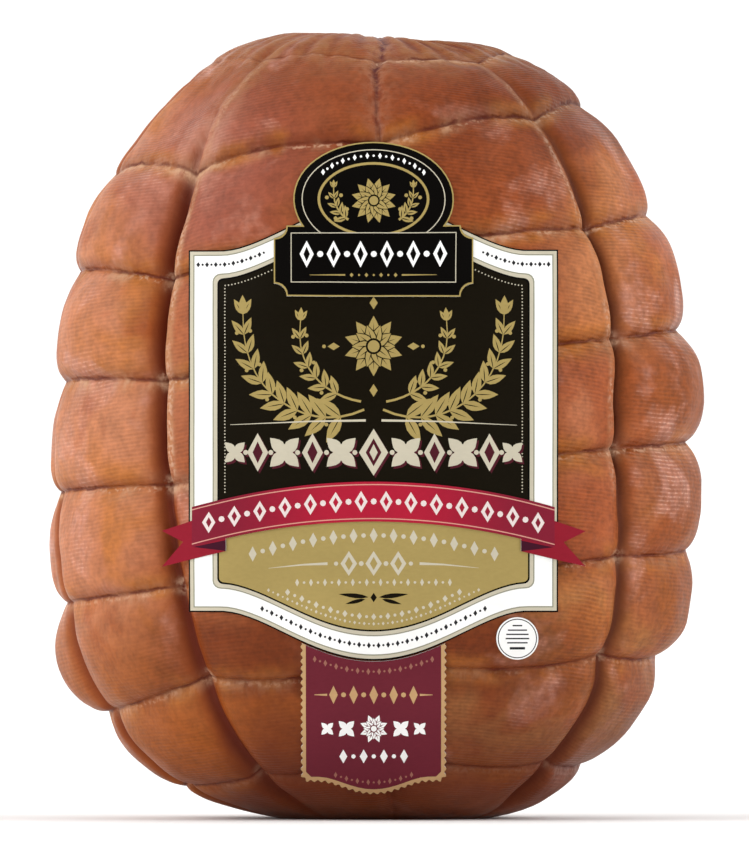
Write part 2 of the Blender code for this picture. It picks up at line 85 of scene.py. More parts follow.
# the cords that ring it, from the top: height at each upright cord, bow between two of them, depth
RINGS = (
    ((0.2410, 0.2415, 0.2425, 0.2435, 0.2440, 0.2436, 0.2422, 0.2413), 0.0015, 0.0018),
    ((0.2057, 0.2074, 0.2157, 0.2246, 0.2283, 0.2244, 0.2132, 0.2065), 0.0036, 0.0034),
    ((0.1749, 0.1723, 0.1808, 0.1891, 0.1940, 0.1883, 0.1788, 0.1739), 0.0018, 0.0040),
    ((0.1392, 0.1397, 0.1458, 0.1532, 0.1567, 0.1521, 0.1442, 0.1393), 0.0006, 0.0042),
    ((0.1037, 0.1063, 0.1118, 0.1179, 0.1203, 0.1169, 0.1105, 0.1053), 0.0000, 0.0046),
    ((0.0677, 0.0738, 0.0783, 0.0834, 0.0861, 0.0821, 0.0774, 0.0714), -0.0008, 0.0034),
    ((0.0316, 0.0436, 0.0480, 0.0504, 0.0513, 0.0498, 0.0466, 0.0392), -0.0022, 0.0040),
    ((0.0090, 0.0126, 0.0180, 0.0143, 0.0150, 0.0165, 0.0170, 0.0110), -0.0016, 0.0032),
)
LEFT_PULL = 0.10               # the rings pressed deeper at the sides
RIGHT_PULL = 0.40
CORD_FLAT = 0.05
CORD_PROFILE = ((0.6, 3), (0.4, 10))
UNDERSIDE_PROFILE = ((0.75, 3), (0.25, 12))    # steep, because each pillow hangs
TOPSIDE_POWER = 1.8
PEAK_SHIFT = 0.10
GROOVE_FADE_RADIUS = 0.75
GROOVE_FADE_POWER = 1.2
CROWN_RING_REACH = 0.4
FOOT_RING_REACH = 0.5
END_RING_POWER = 3
PILLOW_SPREAD = 0.0010
PILLOW_SEED = 11
# how much the pillow at a column and band swells beyond that
ODD_PILLOWS = {
    (0, 0): -0.0052, (7, 0): -0.0052, (3, 1): -0.0024, (4, 1): -0.0024, (0, 1): 0.0010, (7, 1): 0.0014,
    (0, 2): 0.0012, (7, 2): 0.0018, (0, 3): -0.0004, (7, 3): -0.0016, (3, 3): 0.0028, (4, 3): 0.0028,
    (3, 4): 0.0008, (3, 5): 0.0008, (7, 4): 0.0014, (7, 5): 0.0048, (3, 6): -0.0006, (4, 6): -0.0006,
}
LUMPS = ((0.045, 0.0012), (0.014, 0.00035), (0.005, 0.00012))  # size and depth of the meat's lumps
CROWN_DIMPLE = 0.004
CROWN_DIMPLE_WIDTH = 0.20
PLEATS = 34                    # gathers of the casing round the crown
PLEAT_DEPTH = 0.0005
PLEAT_RADII = (0.05, 0.15, 0.28, 0.66)
PLEAT_WANDER = ((0.030, 2.4),)
PLEAT_MEAN = 0.6               # some pleats are deeper than others
PLEAT_UNEVEN = ((0.022, 0.8),)
CRUMPLE = ((0.0075, 0.0007), (0.0034, 0.0005))   # size and depth of the crown's creases
CRUMPLE_HEIGHTS = (0.226, 0.243)
CRUMPLED_CORD = 1              # the casing is crumpled beside the top of this cord too
CRUMPLED_HEIGHTS = (0.196, 0.210)
CRUMPLED_PLACE = 0.002
CRUMPLED_HALF_WIDTH = 0.0075
GASH_CORD = 2                  # the cord over the badge left a torn crease at its top
GASH_DEPTH = 0.0016
GASH_HALF_WIDTH = 0.0008
GASH_LEAST_WIDTH = 0.75        # as a share of that, and what is added higher up
GASH_WIDER = 0.9
GASH_HEIGHTS = (0.205, 0.224)
GASH_FULL_HEIGHTS = (0.226, 0.242)
GASH_WIDER_HEIGHTS = (0.224, 0.238)
GASH_WANDER = ((0.012, 0.0018), (0.0030, 0.0009))
GASH_BEND = 0.0030             # its top end turns to the left
GASH_BEND_HEIGHTS = (0.238, 0.247)
MARK_WANDER = ((0.011, 0.0007),)                 # size and depth, as all that wanders
LEDGE_RISE = 0.0004            # the pale strip that a cord left on a groove's inner side
LEDGE_EDGES = (0.0003, 0.0011, 0.0035, 0.0053)
LEDGE_FILL = 0.85              # how much of the groove's steep part it takes up
LEDGE_LEAST_FILL = 0.4
LEDGE_FILL_WIDTH = 0.0014
LEDGE_HEIGHTS = (0.098, 0.118, 0.180, 0.205)   # between the middle two it shows in full
HIGH_STRIP = 0.8               # above the ledges the pale strip lies on the bare groove
HIGH_STRIP_EDGES = (0.0003, 0.0015, 0.0030, 0.0060)
CREASE_DEPTH = 0.0010
CREASE_PLACE = -0.0003         # places across a cord's mark: above 0 is the groove's inner side
CREASE_WIDTH = 0.00065
CREASE_LEAST = 0.3
FLANK_BULGE = 0.0009           # how far the outer pillow leans over its groove
FLANK_PLACE = -0.0045
FLANK_WIDTH = 0.0032
PUCKER_SIZE = 0.0030           # crinkles of the casing along a ring
PUCKER_DEPTH = 0.0005
PUCKER_REACH = 0.0026
SETTLE_HEIGHTS = (-0.001, 0.007)                 # the grooves run out where the ham stands
ROUND_STEPS = 50               # points across one column of pillows
BAND_STEPS = 27                # rows of points down one band of pillows
CROWN_STEPS = 34
BASE_STEPS = 15
FLAT_STEPS = 4
ROUND_BUNCHING = 0.65          # the points crowd towards the grooves
BAND_BUNCHING = 0.7
CROWN_BUNCHING = 1.25
BASE_BUNCHING = 1.5


def signed_power(value, exponent):
    return np.sign(value) * np.abs(value) ** exponent


def eased(value, low, high):
    """0 under low, 1 over high, and a smooth step between them."""
    share = np.clip((value - low) / (high - low), 0, 1)
    return share * share * (3 - 2 * share)


def within(value, low, full, fading, high):
    """1 between the middle two limits, and eased down to 0 at the outer two."""
    return eased(value, low, full) * (1 - eased(value, fading, high))


def soft_bump(value, middle, width):
    return np.exp(-(((value - middle) / width) ** 2))


def fading(gap, reach):
    return np.exp(-np.abs(gap) / reach)


def form_radius(height):
    above = height >= WAIST_HEIGHT
    reach = np.where(above, (height - WAIST_HEIGHT) / (HAM_HEIGHT - WAIST_HEIGHT),
                     (WAIST_HEIGHT - height) / (WAIST_HEIGHT + BASE_FLATTENED))
    fullness = np.where(above, TOP_FULLNESS, BOTTOM_FULLNESS)
    return (1 - np.clip(reach, 0, 1) ** fullness) ** (1 / fullness)


def crown_height(radius):
    rise = (1 - np.clip(radius, 0, 1) ** TOP_FULLNESS) ** (1 / TOP_FULLNESS)
    return WAIST_HEIGHT + (HAM_HEIGHT - WAIST_HEIGHT) * rise


def form_point(angle, radius, height):
    depth = np.where(np.cos(angle) > 0, FRONT_DEPTH, BACK_DEPTH)
    corner = 2 / PLAN_FULLNESS
    x = HALF_WIDTH * radius * signed_power(np.sin(angle), corner)
    y = -depth * radius * signed_power(np.cos(angle), corner)
    tuck = RIGHT_TUCK * (1 - eased(height, *TUCK_HEIGHTS)) * (x > 0)
    return np.stack((x * (1 - tuck), y, height), axis=-1)


def form_normal(point):
    x, y, height = np.moveaxis(point, -1, 0)
    depth = np.where(y < 0, FRONT_DEPTH, BACK_DEPTH)
    above = height >= WAIST_HEIGHT
    reach = np.where(above, HAM_HEIGHT - WAIST_HEIGHT, WAIST_HEIGHT + BASE_FLATTENED)
    fullness = np.where(above, TOP_FULLNESS, BOTTOM_FULLNESS)
    plan = np.abs(x / HALF_WIDTH) ** PLAN_FULLNESS + np.abs(y / depth) ** PLAN_FULLNESS
    share = np.maximum(plan, 1e-9) ** (fullness / PLAN_FULLNESS - 1)
    across = share * signed_power(x / HALF_WIDTH, PLAN_FULLNESS - 1) / HALF_WIDTH
    along = share * signed_power(y / depth, PLAN_FULLNESS - 1) / depth
    up = signed_power((height - WAIST_HEIGHT) / reach, fullness - 1) / reach
    normal = np.stack((across, along, up), axis=-1)
    return normal / np.linalg.norm(normal, axis=-1, keepdims=True)


def cord_angle(cord, height):
    turns, cord = np.divmod(cord, len(CORDS))
    base, middle, crown = CORDS[cord].T[:3]
    up = height / HAM_HEIGHT
    angle = base * (1 - 2 * up) * (1 - up) + middle * 4 * up * (1 - up) + crown * up * (2 * up - 1)
    angle = angle + PULL_TURN * within(height, *PULL_HEIGHTS) * (cord == PULLED_CORD)
    return np.radians(angle + 360 * turns)


def column_angle(column, share, height):
    left = cord_angle(column, height)
    return left + share * (cord_angle(column + 1, height) - left)


def cord_depth(cord, height):
    foot, middle, crown = CORDS[cord % len(CORDS)].T[3:]
    depth = foot + (middle - foot) * eased(height, *FOOT_HEIGHTS)
    return depth + (crown - middle) * eased(height, *CROWN_HEIGHTS)


def ring_height(ring, column, share):
    heights, bow, _ = RINGS[ring]
    left, right = np.array(heights)[column], np.array(heights)[(column + 1) % len(heights)]
    return left + share * (right - left) + bow * np.sin(np.pi * share)


def ring_depth(ring, angle):
    across = np.sin(angle)
    return RINGS[ring][2] * (1 + np.where(across < 0, LEFT_PULL, RIGHT_PULL) * across**2)


def cord_press(share, filled):
    """How far in a cord pressed across a column, less what a ledge fills of the steep part."""
    edge = np.minimum(1, np.abs(2 * share - 1) / (1 - CORD_FLAT))
    (gentle, gentle_power), (steep, steep_power) = CORD_PROFILE
    return gentle * edge**gentle_power + steep * edge**steep_power * (1 - filled)


def ring_press(down, angle):
    peak = 0.5 - PEAK_SHIFT * np.sin(angle)
    top = np.maximum(0, 1 - down / peak) ** TOPSIDE_POWER
    under = np.maximum(0, (down - peak) / (1 - peak))
    return top + sum(part * under**power for part, power in UNDERSIDE_PROFILE)


def bunched(steps, crowding):
    """Shares from 0 to just under 1 that crowd towards both ends."""
    even = np.arange(steps) / steps
    return even - crowding * np.sin(2 * np.pi * even) / (2 * np.pi)


swell_draws = random.Random(PILLOW_SEED)
swells = np.array([[swell_draws.uniform(-PILLOW_SPREAD, PILLOW_SPREAD) + ODD_PILLOWS.get((c, band), 0)
                    for band in range(len(RINGS) - 1)] for c in range(len(CORDS))])


def noise_field(points, size):
    flat = points.reshape(-1, 3) / size
    return np.array([noise.noise(Vector(point)) for point in flat]).reshape(points.shape[:-1])


def uneven(points, layers):
    """Noise of several sizes, added up. Each layer is a size and how much it gives."""
    return sum(much * noise_field(points, size) for size, much in layers)


column = np.repeat(np.arange(len(CORDS)), ROUND_STEPS)
share = np.tile(bunched(ROUND_STEPS, ROUND_BUNCHING), len(CORDS))
no_swell = np.zeros(len(column))
skin_rows = []                 # height, radius, groove and swell of each row of points, from the foot up
ring_rows = []
lowest = ring_height(len(RINGS) - 1, column, share)
for step in range(BASE_STEPS):                       # from the flat spot up to the lowest ring
    up = 1 - (1 - step / BASE_STEPS) ** BASE_BUNCHING
    height = lowest * up
    groove = ring_depth(len(RINGS) - 1, column_angle(column, share, height))
    groove = groove * max(0.0, 1 - (1 - up) / FOOT_RING_REACH) ** END_RING_POWER
    skin_rows.append((height, form_radius(height), groove, no_swell))
for band in reversed(range(len(RINGS) - 1)):         # one band of pillows after another
    low = ring_height(band + 1, column, share)
    high = ring_height(band, column, share)
    ring_rows.append(len(skin_rows))
    for up in bunched(BAND_STEPS, BAND_BUNCHING):
        height = low + up * (high - low)
        angle = column_angle(column, share, height)
        groove = ring_depth(band if up > 0.5 else band + 1, angle) * ring_press(1 - up, angle)
        swell = swells[column, band] * 4 * share * (1 - share) * 4 * up * (1 - up)
        skin_rows.append((height, form_radius(height), groove, swell))
ring_rows.append(len(skin_rows))
for step in range(CROWN_STEPS):                      # from the top ring in to the pole
    inward = (step / CROWN_STEPS) ** CROWN_BUNCHING
    radius = form_radius(high) * (1 - inward)
    height = crown_height(radius)
    groove = ring_depth(0, column_angle(column, share, height))
    groove = groove * max(0.0, 1 - inward / CROWN_RING_REACH) ** END_RING_POWER
    skin_rows.append((height, radius, groove, no_swell))
heights, radii, ring_grooves, swelling = (np.stack(field) for field in zip(*skin_rows))
angles = column_angle(column, share, heights)
form = form_point(angles, radii, heights)
outward = form_normal(form)

# how far each point lies along the surface from the nearest ring and from the nearest upright cord
climb = np.cumsum(np.linalg.norm(np.diff(form, axis=0, prepend=form[:1]), axis=-1), axis=0)
over_ring = np.full_like(heights, 1.0)               # distance up from the ring below
under_ring = np.full_like(heights, 1.0)              # distance down from the ring above
for row in ring_rows:
    over_ring[row:] = climb[row:] - climb[row]
    under_ring[:row + 1] = np.minimum(under_ring[:row + 1], climb[row] - climb[:row + 1])
ring_gap = np.minimum(over_ring, under_ring)
strides = np.linalg.norm(np.roll(form, -1, axis=1) - form, axis=-1)
strides = strides.reshape(len(form), len(CORDS), ROUND_STEPS)
from_left = (np.cumsum(strides, axis=2) - strides).reshape(heights.shape)
widths = np.repeat(strides.sum(axis=2), ROUND_STEPS, axis=1)
left_near = share < 0.5
nearest_cord = np.where(left_near, column, column + 1)
cord_gap = np.where(left_near, from_left, widths - from_left)
inside = CORD_INSIDE[nearest_cord % len(CORDS)] * np.where(left_near, 1, -1)
inner_gap = np.where(inside > 0, cord_gap, -cord_gap) + uneven(form, MARK_WANDER)

# the marks that the cords left: a pale ledge on the inner side, a crease, and a pillow leaning over it
fade = np.minimum(1, radii / GROOVE_FADE_RADIUS) ** GROOVE_FADE_POWER
pressed_in = cord_depth(nearest_cord, heights)
grip = pressed_in / DEEPEST_CORD
shown = within(heights, *LEDGE_HEIGHTS)
ledge = within(inner_gap, *LEDGE_EDGES) * (shown * grip)
high_strip = within(inner_gap, *HIGH_STRIP_EDGES) * (inside != 0) * eased(heights, *LEDGE_HEIGHTS[2:])
pale_strip = ledge + high_strip * HIGH_STRIP
filled = LEDGE_FILL * (LEDGE_LEAST_FILL + (1 - LEDGE_LEAST_FILL) * shown)
filled = filled * eased(inner_gap, 0.0, LEDGE_FILL_WIDTH)
crease = soft_bump(inner_gap, CREASE_PLACE, CREASE_WIDTH) * (CREASE_LEAST + (1 - CREASE_LEAST) * shown)
flank = soft_bump(inner_gap, FLANK_PLACE, FLANK_WIDTH) * (inner_gap < 0) * grip
pucker = noise_field(form, PUCKER_SIZE) * fading(ring_gap, PUCKER_REACH)
depth = np.hypot(pressed_in * cord_press(share, filled), ring_grooves)
depth += CREASE_DEPTH * crease - LEDGE_RISE * ledge - FLANK_BULGE * flank + PUCKER_DEPTH * pucker

# the crown: a torn crease, crumpled casing and pleats round the gathered end
gash_place = np.where(left_near, cord_gap, -cord_gap) + uneven(form, GASH_WANDER)
gash_place -= GASH_BEND * eased(heights, *GASH_BEND_HEIGHTS)
gash_reach = (eased(heights, *GASH_HEIGHTS) + eased(heights, *GASH_FULL_HEIGHTS)) / 2
gash_room = (nearest_cord == GASH_CORD) * gash_reach
gash_width = GASH_HALF_WIDTH * (GASH_LEAST_WIDTH + GASH_WIDER * eased(heights, *GASH_WIDER_HEIGHTS))
gash = soft_bump(gash_place, 0, gash_width) * gash_room
high_valley = (nearest_cord == CRUMPLED_CORD) * eased(heights, *CRUMPLED_HEIGHTS)
high_valley = high_valley * soft_bump(inner_gap, CRUMPLED_PLACE, CRUMPLED_HALF_WIDTH)
crumpled = np.maximum(eased(heights, *CRUMPLE_HEIGHTS), high_valley)
depth += GASH_DEPTH * gash + uneven(form, CRUMPLE) * crumpled
pleat_room = within(radii, *PLEAT_RADII) * (heights > WAIST_HEIGHT)
pleats = np.sin(PLEATS * angles + uneven(form, PLEAT_WANDER)) * pleat_room
pleats *= PLEAT_MEAN + uneven(form, PLEAT_UNEVEN)

inset = (depth * fade - swelling - uneven(form, LUMPS) * fade) * eased(heights, *SETTLE_HEIGHTS)
inset -= PLEAT_DEPTH * pleats
skin = form - outward * inset[..., None]
skin[..., 0] += CROWN_LEAN * (skin[..., 2] / HAM_HEIGHT) ** CROWN_LEAN_POWER
skin[..., 0] += FOOT_LEAN * (1 - eased(skin[..., 2], 0.0, FOOT_LEAN_HEIGHT))
slump = CROWN_SLUMP * soft_bump(skin[..., 0], SLUMP_X, SLUMP_HALF_WIDTH)
skin[..., 2] -= slump * eased(skin[..., 2], *SLUMP_HEIGHTS)
skin[..., 2] -= CROWN_DIMPLE * soft_bump(radii, 0, CROWN_DIMPLE_WIDTH) * (heights > WAIST_HEIGHT)
skin[0, :, 2] = 0
skin[..., 2] = np.maximum(skin[..., 2], 0)

foot = skin[0].mean(axis=0)
flat_rows = [foot + (skin[0] - foot) * step / (FLAT_STEPS + 1) for step in range(1, FLAT_STEPS + 1)]
rows = np.concatenate((np.stack(flat_rows), skin))
around = rows.shape[1]
points = np.concatenate((rows.reshape(-1, 3), [foot, skin[-1].mean(axis=0)]))
index = np.arange(len(rows) * around).reshape(len(rows), around)
beside = np.roll(index, -1, axis=1)
quads = np.stack((index[:-1], beside[:-1], beside[1:], index[1:]), axis=-1).reshape(-1, 4)
pole = len(points) - 1
faces = quads.tolist()
faces += [(pole - 1, b, a) for a, b in zip(index[0], beside[0])]
faces += [(a, b, pole) for a, b in zip(index[-1], beside[-1])]
ham_mesh = bpy.data.meshes.new("ham_whole")
ham_mesh.from_pydata(points, [], faces)
ham_mesh.validate()
ham_mesh.shade_smooth()


def stand(name, data):
    """Puts a mesh, a light or a camera into the scene."""
    made = bpy.data.objects.new(name, data)
    bpy.context.scene.collection.objects.link(made)
    return made


ham = stand("ham_whole", ham_mesh)


def add_marks(mesh, name, *fields):
    """Stores up to three fields of the skin as a vector attribute. The flat foot takes its rim's values."""
    made = np.zeros((len(mesh.vertices), 3))
    for k, field in enumerate(fields):
        foot_rows = np.repeat(field[:1], FLAT_STEPS, axis=0)
        whole = np.concatenate((foot_rows, field)).ravel()
        made[:len(whole), k] = whole
        made[len(whole):, k] = whole[0], whole[-1]
    attribute = mesh.attributes.new(name, "FLOAT_VECTOR", "POINT")
    attribute.data.foreach_set("vector", made.ravel())


# where the cords marked the casing, and the painted shade in the groove beside each cord, for the material:
# gaps are in millimetres there
SHADE_REACH = 0.0042
PULLED_SHADE_REACH = 0.0027
SHADE_START = 0.0006           # across a cord's mark, the painted shade begins under the ledge's outer edge
BARE_SHADE = 0.8               # and where there is no ledge, it reaches over the inner side too
BARE_SHADE_REACH = 0.0022
RING_MARK_REACH = 0.0035
CROSSING_REACH = 0.0036
LINE_REACH = (0.004, 0.007)    # how far from a cord its dark line may wander
LINE_LEAST = 0.3
# painted shade on the groove's flank beside each cord
shade_reach = np.where(nearest_cord == PULLED_CORD, PULLED_SHADE_REACH, SHADE_REACH)
cord_shade = fading(inner_gap + 0.0008, shade_reach) * (inner_gap < SHADE_START) * np.minimum(1, 1.3 * grip)
bare_shade = fading(inner_gap, BARE_SHADE_REACH) * (inner_gap >= SHADE_START) * grip * (1 - shown)
cord_shade += bare_shade * BARE_SHADE
add_marks(ham_mesh, "cord_marks", np.clip(inner_gap * 1000, -12, 12), pale_strip * fade, cord_shade * fade)
ring_side = np.where(over_ring < under_ring, over_ring, -under_ring)
crossing = np.exp(-(cord_gap**2 + ring_gap**2) / CROSSING_REACH**2) * grip
by_ring = fading(ring_gap, RING_MARK_REACH)
by_ring *= 1 - 0.75 * eased(heights, 0.228, 0.236) * (1 - eased(form[..., 0], -0.010, 0.030))
add_marks(ham_mesh, "ring_marks", np.clip(ring_side * 1000, -9, 9), by_ring, crossing)
mean_climb = climb - climb[0]
girth = np.cumsum(np.repeat(strides.sum(axis=(1, 2))[:, None] / around, around, axis=1), axis=1)
line_room = (LINE_LEAST + (1 - LINE_LEAST) * shown) * fade * (1 - eased(cord_gap, *LINE_REACH))
add_marks(ham_mesh, "casing", girth * 1000, mean_climb * 1000, line_room)
gash_sides = fading(gash_place, 0.0030) * gash_room
add_marks(ham_mesh, "crown_marks", gash, gash_sides, np.maximum(eased(heights, 0.232, 0.246), high_valley))
add_marks(ham_mesh, "gathers", pleats)


def put(tree, kind, inputs=None, **settings):
    """Adds one node. Each input is a plain value, or a socket that is joined to it."""
    node = tree.nodes.new(kind)
    for name, value in settings.items():
        setattr(node, name, value)
    for name, value in (inputs or {}).items():
        if isinstance(value, bpy.types.NodeSocket):
            tree.links.new(value, node.inputs[name])
        else:
            node.inputs[name].default_value = value
    return node


def maths(operation, *values):
    """A Math node, in the node tree of its first socket."""
    tree = next(value.id_data for value in values if isinstance(value, bpy.types.NodeSocket))
    return put(tree, "ShaderNodeMath", dict(enumerate(values)), operation=operation).outputs[0]


def plus(*values):
    return reduce(lambda total, value: maths("ADD", total, value), values)


def times(*values):
    return reduce(lambda product, value: maths("MULTIPLY", product, value), values)


def span(value, low, high, bottom=0.0, top=1.0):
    """Turns a value's stretch from low to high into bottom to top, smoothly."""
    inputs = {"Value": value, "From Min": low, "From Max": high, "To Min": bottom, "To Max": top}
    node = put(value.id_data, "ShaderNodeMapRange", inputs, interpolation_type="SMOOTHSTEP")
    return node.outputs["Result"]


def hill(value, middle, width):
    """1 where the value is at the middle, and 0 from a width away."""
    return span(maths("ABSOLUTE", maths("SUBTRACT", value, middle)), width, 0.0)


def tint(share, first, second):
    """Mixes two colours, each a socket or three plain values."""
    inputs = {0: share}
    for number, paint in ((6, first), (7, second)):
        inputs[number] = paint if isinstance(paint, bpy.types.NodeSocket) else (*paint, 1.0)
    return put(share.id_data, "ShaderNodeMix", inputs, data_type="RGBA").outputs[2]


def mottle(place, size, detail=2.0, distortion=0.0, rough=0.5):
    """Soft noise whose features are about the given size, in metres."""
    inputs = {"Vector": place, "Scale": 0.5 / size, "Detail": detail, "Distortion": distortion,
              "Roughness": rough}
    return put(place.id_data, "ShaderNodeTexNoise", inputs).outputs["Fac"]


def stretched(place, scale, shift=(0, 0, 0)):
    inputs = {"Vector": place, "Scale": scale, "Location": shift}
    return put(place.id_data, "ShaderNodeMapping", inputs).outputs["Vector"]


def vectors(operation, first, second):
    """A Vector Math node. Its answer is a number for a distance, and a vector or colour otherwise."""
    second_input = "Scale" if operation == "SCALE" else 1
    made = put(first.id_data, "ShaderNodeVectorMath", {0: first, second_input: second}, operation=operation)
    return made.outputs["Value" if operation == "DISTANCE" else "Vector"]


def start_material(name):
    made = bpy.data.materials.new(name)
    made.use_nodes = True
    return made, made.node_tree, made.node_tree.nodes["Principled BSDF"]


def finish_material(shader, colour, roughness, height, specular):
    """Joins a colour, a roughness and heights in millimetres to the shader."""
    tree = shader.id_data
    bump = put(tree, "ShaderNodeBump", {"Height": height, "Strength": 1.0, "Distance": 0.001})
    tree.links.new(colour, shader.inputs["Base Color"])
    tree.links.new(roughness, shader.inputs["Roughness"])
    tree.links.new(bump.outputs["Normal"], shader.inputs["Normal"])
    shader.inputs["Specular IOR Level"].default_value = specular


def read_marks(tree, name):
    attribute = put(tree, "ShaderNodeAttribute", attribute_name=name)
    parts = put(tree, "ShaderNodeSeparateXYZ", {"Vector": attribute.outputs["Vector"]})
    return parts.outputs


RIB_PITCH_MM = 1.31
SMOKED = 0.895                 # the smoke darkens the whole rind, and painted shade the upper right side more
SHADED_HIGH = 0.68
RIND_SHINE = 0.135
rind, tree, shader = start_material("smoked_rind")
place = put(tree, "ShaderNodeTexCoord").outputs["Object"]
across, _, upward = put(tree, "ShaderNodeSeparateXYZ", {"Vector": place}).outputs
cord_mm, ledge_mark, shade = read_marks(tree, "cord_marks")
ring_mm, by_ring, crossing_mark = read_marks(tree, "ring_marks")
girth_mm, climb_mm, line_mark = read_marks(tree, "casing")
gash_mark, gash_side, crumple_mark = read_marks(tree, "crown_marks")
gather = read_marks(tree, "gathers")[0]


def patches(size, shift, low, high, top=1.0, detail=3.0, distortion=0.4):
    """Patches of about a size, 0 outside them and the top value inside."""
    shifted = stretched(place, (1, 1, 1), shift)
    return span(mottle(shifted, size, detail, distortion), low, high, 0.0, top)


# smoke colour: salmon, with painted light that makes it paler towards the left, and patches of orange and
# red-brown
colour = tint(patches(0.026, (0, 0, 0), 0.38, 0.62), (0.375, 0.092, 0.027), (0.500, 0.172, 0.075))
# painted light: paler towards the left
colour = tint(span(across, -0.030, -0.085, 0.0, 0.55), colour, (0.520, 0.205, 0.098))
colour = tint(patches(0.016, (3.1, 0.4, 1.7), 0.48, 0.64, 0.8), colour, (0.470, 0.150, 0.028))
colour = tint(patches(0.013, (5.7, 2.4, 0.7), 0.52, 0.68, 0.7), colour, (0.330, 0.068, 0.018))
# painted shade: redder and darker down the middle and over the shoulders, and duller orange below
aside = maths("ABSOLUTE", plus(across, -0.006))
shaded_centre = times(span(aside, 0.092, 0.040), patches(0.030, (1.3, 6.2, 0.9), 0.25, 0.60, 0.92))
colour = tint(shaded_centre, colour, (0.275, 0.055, 0.012))
shaded_shoulder = times(span(upward, 0.185, 0.215), span(aside, 0.075, 0.040, 0.0, 0.82))
shaded_shoulder = times(shaded_shoulder, span(across, 0.010, 0.040, 1.0, 0.72))
colour = tint(shaded_shoulder, colour, (0.232, 0.050, 0.013))
shaded_low_down = times(span(upward, 0.085, 0.040), span(across, 0.0, 0.035, 0.80, 0.42))
colour = tint(shaded_low_down, colour, (0.300, 0.076, 0.008))
# tan patches low on the right, and a rosy spot high on the left
tan_room = times(span(upward, 0.085, 0.060), span(upward, 0.010, 0.030), span(across, 0.010, 0.030))
tan_patch = times(tan_room, patches(0.012, (1.9, 3.6, 8.8), 0.40, 0.60, 0.75))
colour = tint(tan_patch, colour, (0.440, 0.200, 0.066))
rosy_gap = vectors("DISTANCE", place, (-0.055, -0.050, 0.205))
colour = tint(span(rosy_gap, 0.050, 0.015, 0.0, 0.72), colour, (0.310, 0.082, 0.052))
# the right side: painted shade outermost, paler inwards of that, and painted shade above
shaded_outer_right = times(span(across, 0.070, 0.100), span(upward, 0.180, 0.160, 0.0, 0.85))
colour = tint(shaded_outer_right, colour, (0.240, 0.052, 0.003))
wavy_height = plus(upward, span(mottle(place, 0.018), 0.3, 0.7, -0.010, 0.010))
paler_right = times(hill(across, 0.070, 0.024), span(wavy_height, 0.135, 0.160),
                  span(wavy_height, 0.215, 0.190, 0.0, 0.60))
colour = tint(paler_right, colour, (0.560, 0.215, 0.075))
# painted shade: darker over the upper right
shaded_high_right = times(span(wavy_height, 0.198, 0.224), span(across, -0.010, 0.055, 0.0, 0.70))
colour = tint(shaded_high_right, colour, (0.235, 0.040, 0.003))
# darker between the label and the ring below it
aside = maths("ABSOLUTE", plus(across, 0.002))
below_label_dark = times(span(upward, 0.072, 0.058), span(upward, 0.036, 0.044), span(aside, 0.085, 0.050, 0.0, 0.80))
colour = tint(below_label_dark, colour, (0.145, 0.025, 0.004))
# painted shade: on the right side the top of each pillow is browner, where it hangs under the ring
right_side = span(across, 0.025, 0.065)
shade_under_ring = times(span(ring_mm, -8.0, -2.0), span(ring_mm, 0.5, -0.5), right_side, 0.62)
shade_under_ring = times(shade_under_ring, span(by_ring, 0.03, 0.08))
colour = tint(shade_under_ring, colour, (0.310, 0.078, 0.012))
# orange towards the rings
near_ring = times(span(by_ring, 0.05, 0.5), patches(0.012, (0.7, 5.1, 2.2), 0.42, 0.58, 0.75))
colour = tint(near_ring, colour, (0.430, 0.135, 0.018))
# pale lilac film where the casing dried on the pillows, partly painted sheen, with small painted glints
film_and_sheen_patch = patches(0.012, (8.3, 1.9, 4.4), 0.52, 0.68, 1.0, 4.0)
low_left = times(span(upward, 0.075, 0.045), span(across, 0.020, -0.010, 0.0, 0.85))
bare = maths("MAXIMUM", low_left, shaded_high_right)
film_and_sheen_patch = times(film_and_sheen_patch, span(bare, 0.0, 1.0, 1.0, 0.0))
valley = span(vectors("DISTANCE", place, (-0.058, -0.045, 0.209)), 0.030, 0.004, 0.0, 0.75)
crumb = mottle(place, 0.0015, 3.0, 0.0, 0.6)
film_and_sheen_tone = maths("MAXIMUM", film_and_sheen_patch, times(valley, patches(0.006, (0, 0, 0), 0.38, 0.55)))
bead = mottle(place, 0.0007, 1.0)
colour = tint(times(film_and_sheen_tone, span(crumb, 0.34, 0.66, 0.30, 0.66)), colour, (0.560, 0.250, 0.180))
# ribs of the casing and the threads across them, clear in some patches and faint in others
wobble = mottle(place, 0.012, 2.0)
rib_place = plus(climb_mm, times(wobble, 2.2))
rib = maths("SINE", times(rib_place, 2 * math.pi / RIB_PITCH_MM))
clear_ribs = span(mottle(stretched(place, (1, 1, 1), (2.2, 7.7, 0.3)), 0.015, 3.0), 0.38, 0.60, 0.22, 0.80)
rib = times(rib, clear_ribs, span(shade, 0.6, 0.1, 0.3, 1.0), span(across, 0.0, 0.06, 0.80, 1.25))
rib = times(rib, span(crumb, 0.25, 0.60, 0.55, 1.25))
thread_place = plus(girth_mm, times(wobble, 1.6))
thread = maths("SINE", times(thread_place, 2 * math.pi / RIB_PITCH_MM))
thread = times(thread, patches(0.015, (6.6, 0.7, 3.3), 0.48, 0.66, 0.22))
thread = times(thread, span(right_side, 0.0, 1.0, 0.9, 0.2))
relief = plus(rib, thread)
# painted glints: pale highlights on the rib crests within the film and sheen patches
painted_glints = times(film_and_sheen_tone, span(relief, 0.1, 0.9), span(bead, 0.44, 0.66, 0.10, 0.52))
colour = tint(painted_glints, colour, (0.700, 0.420, 0.320))
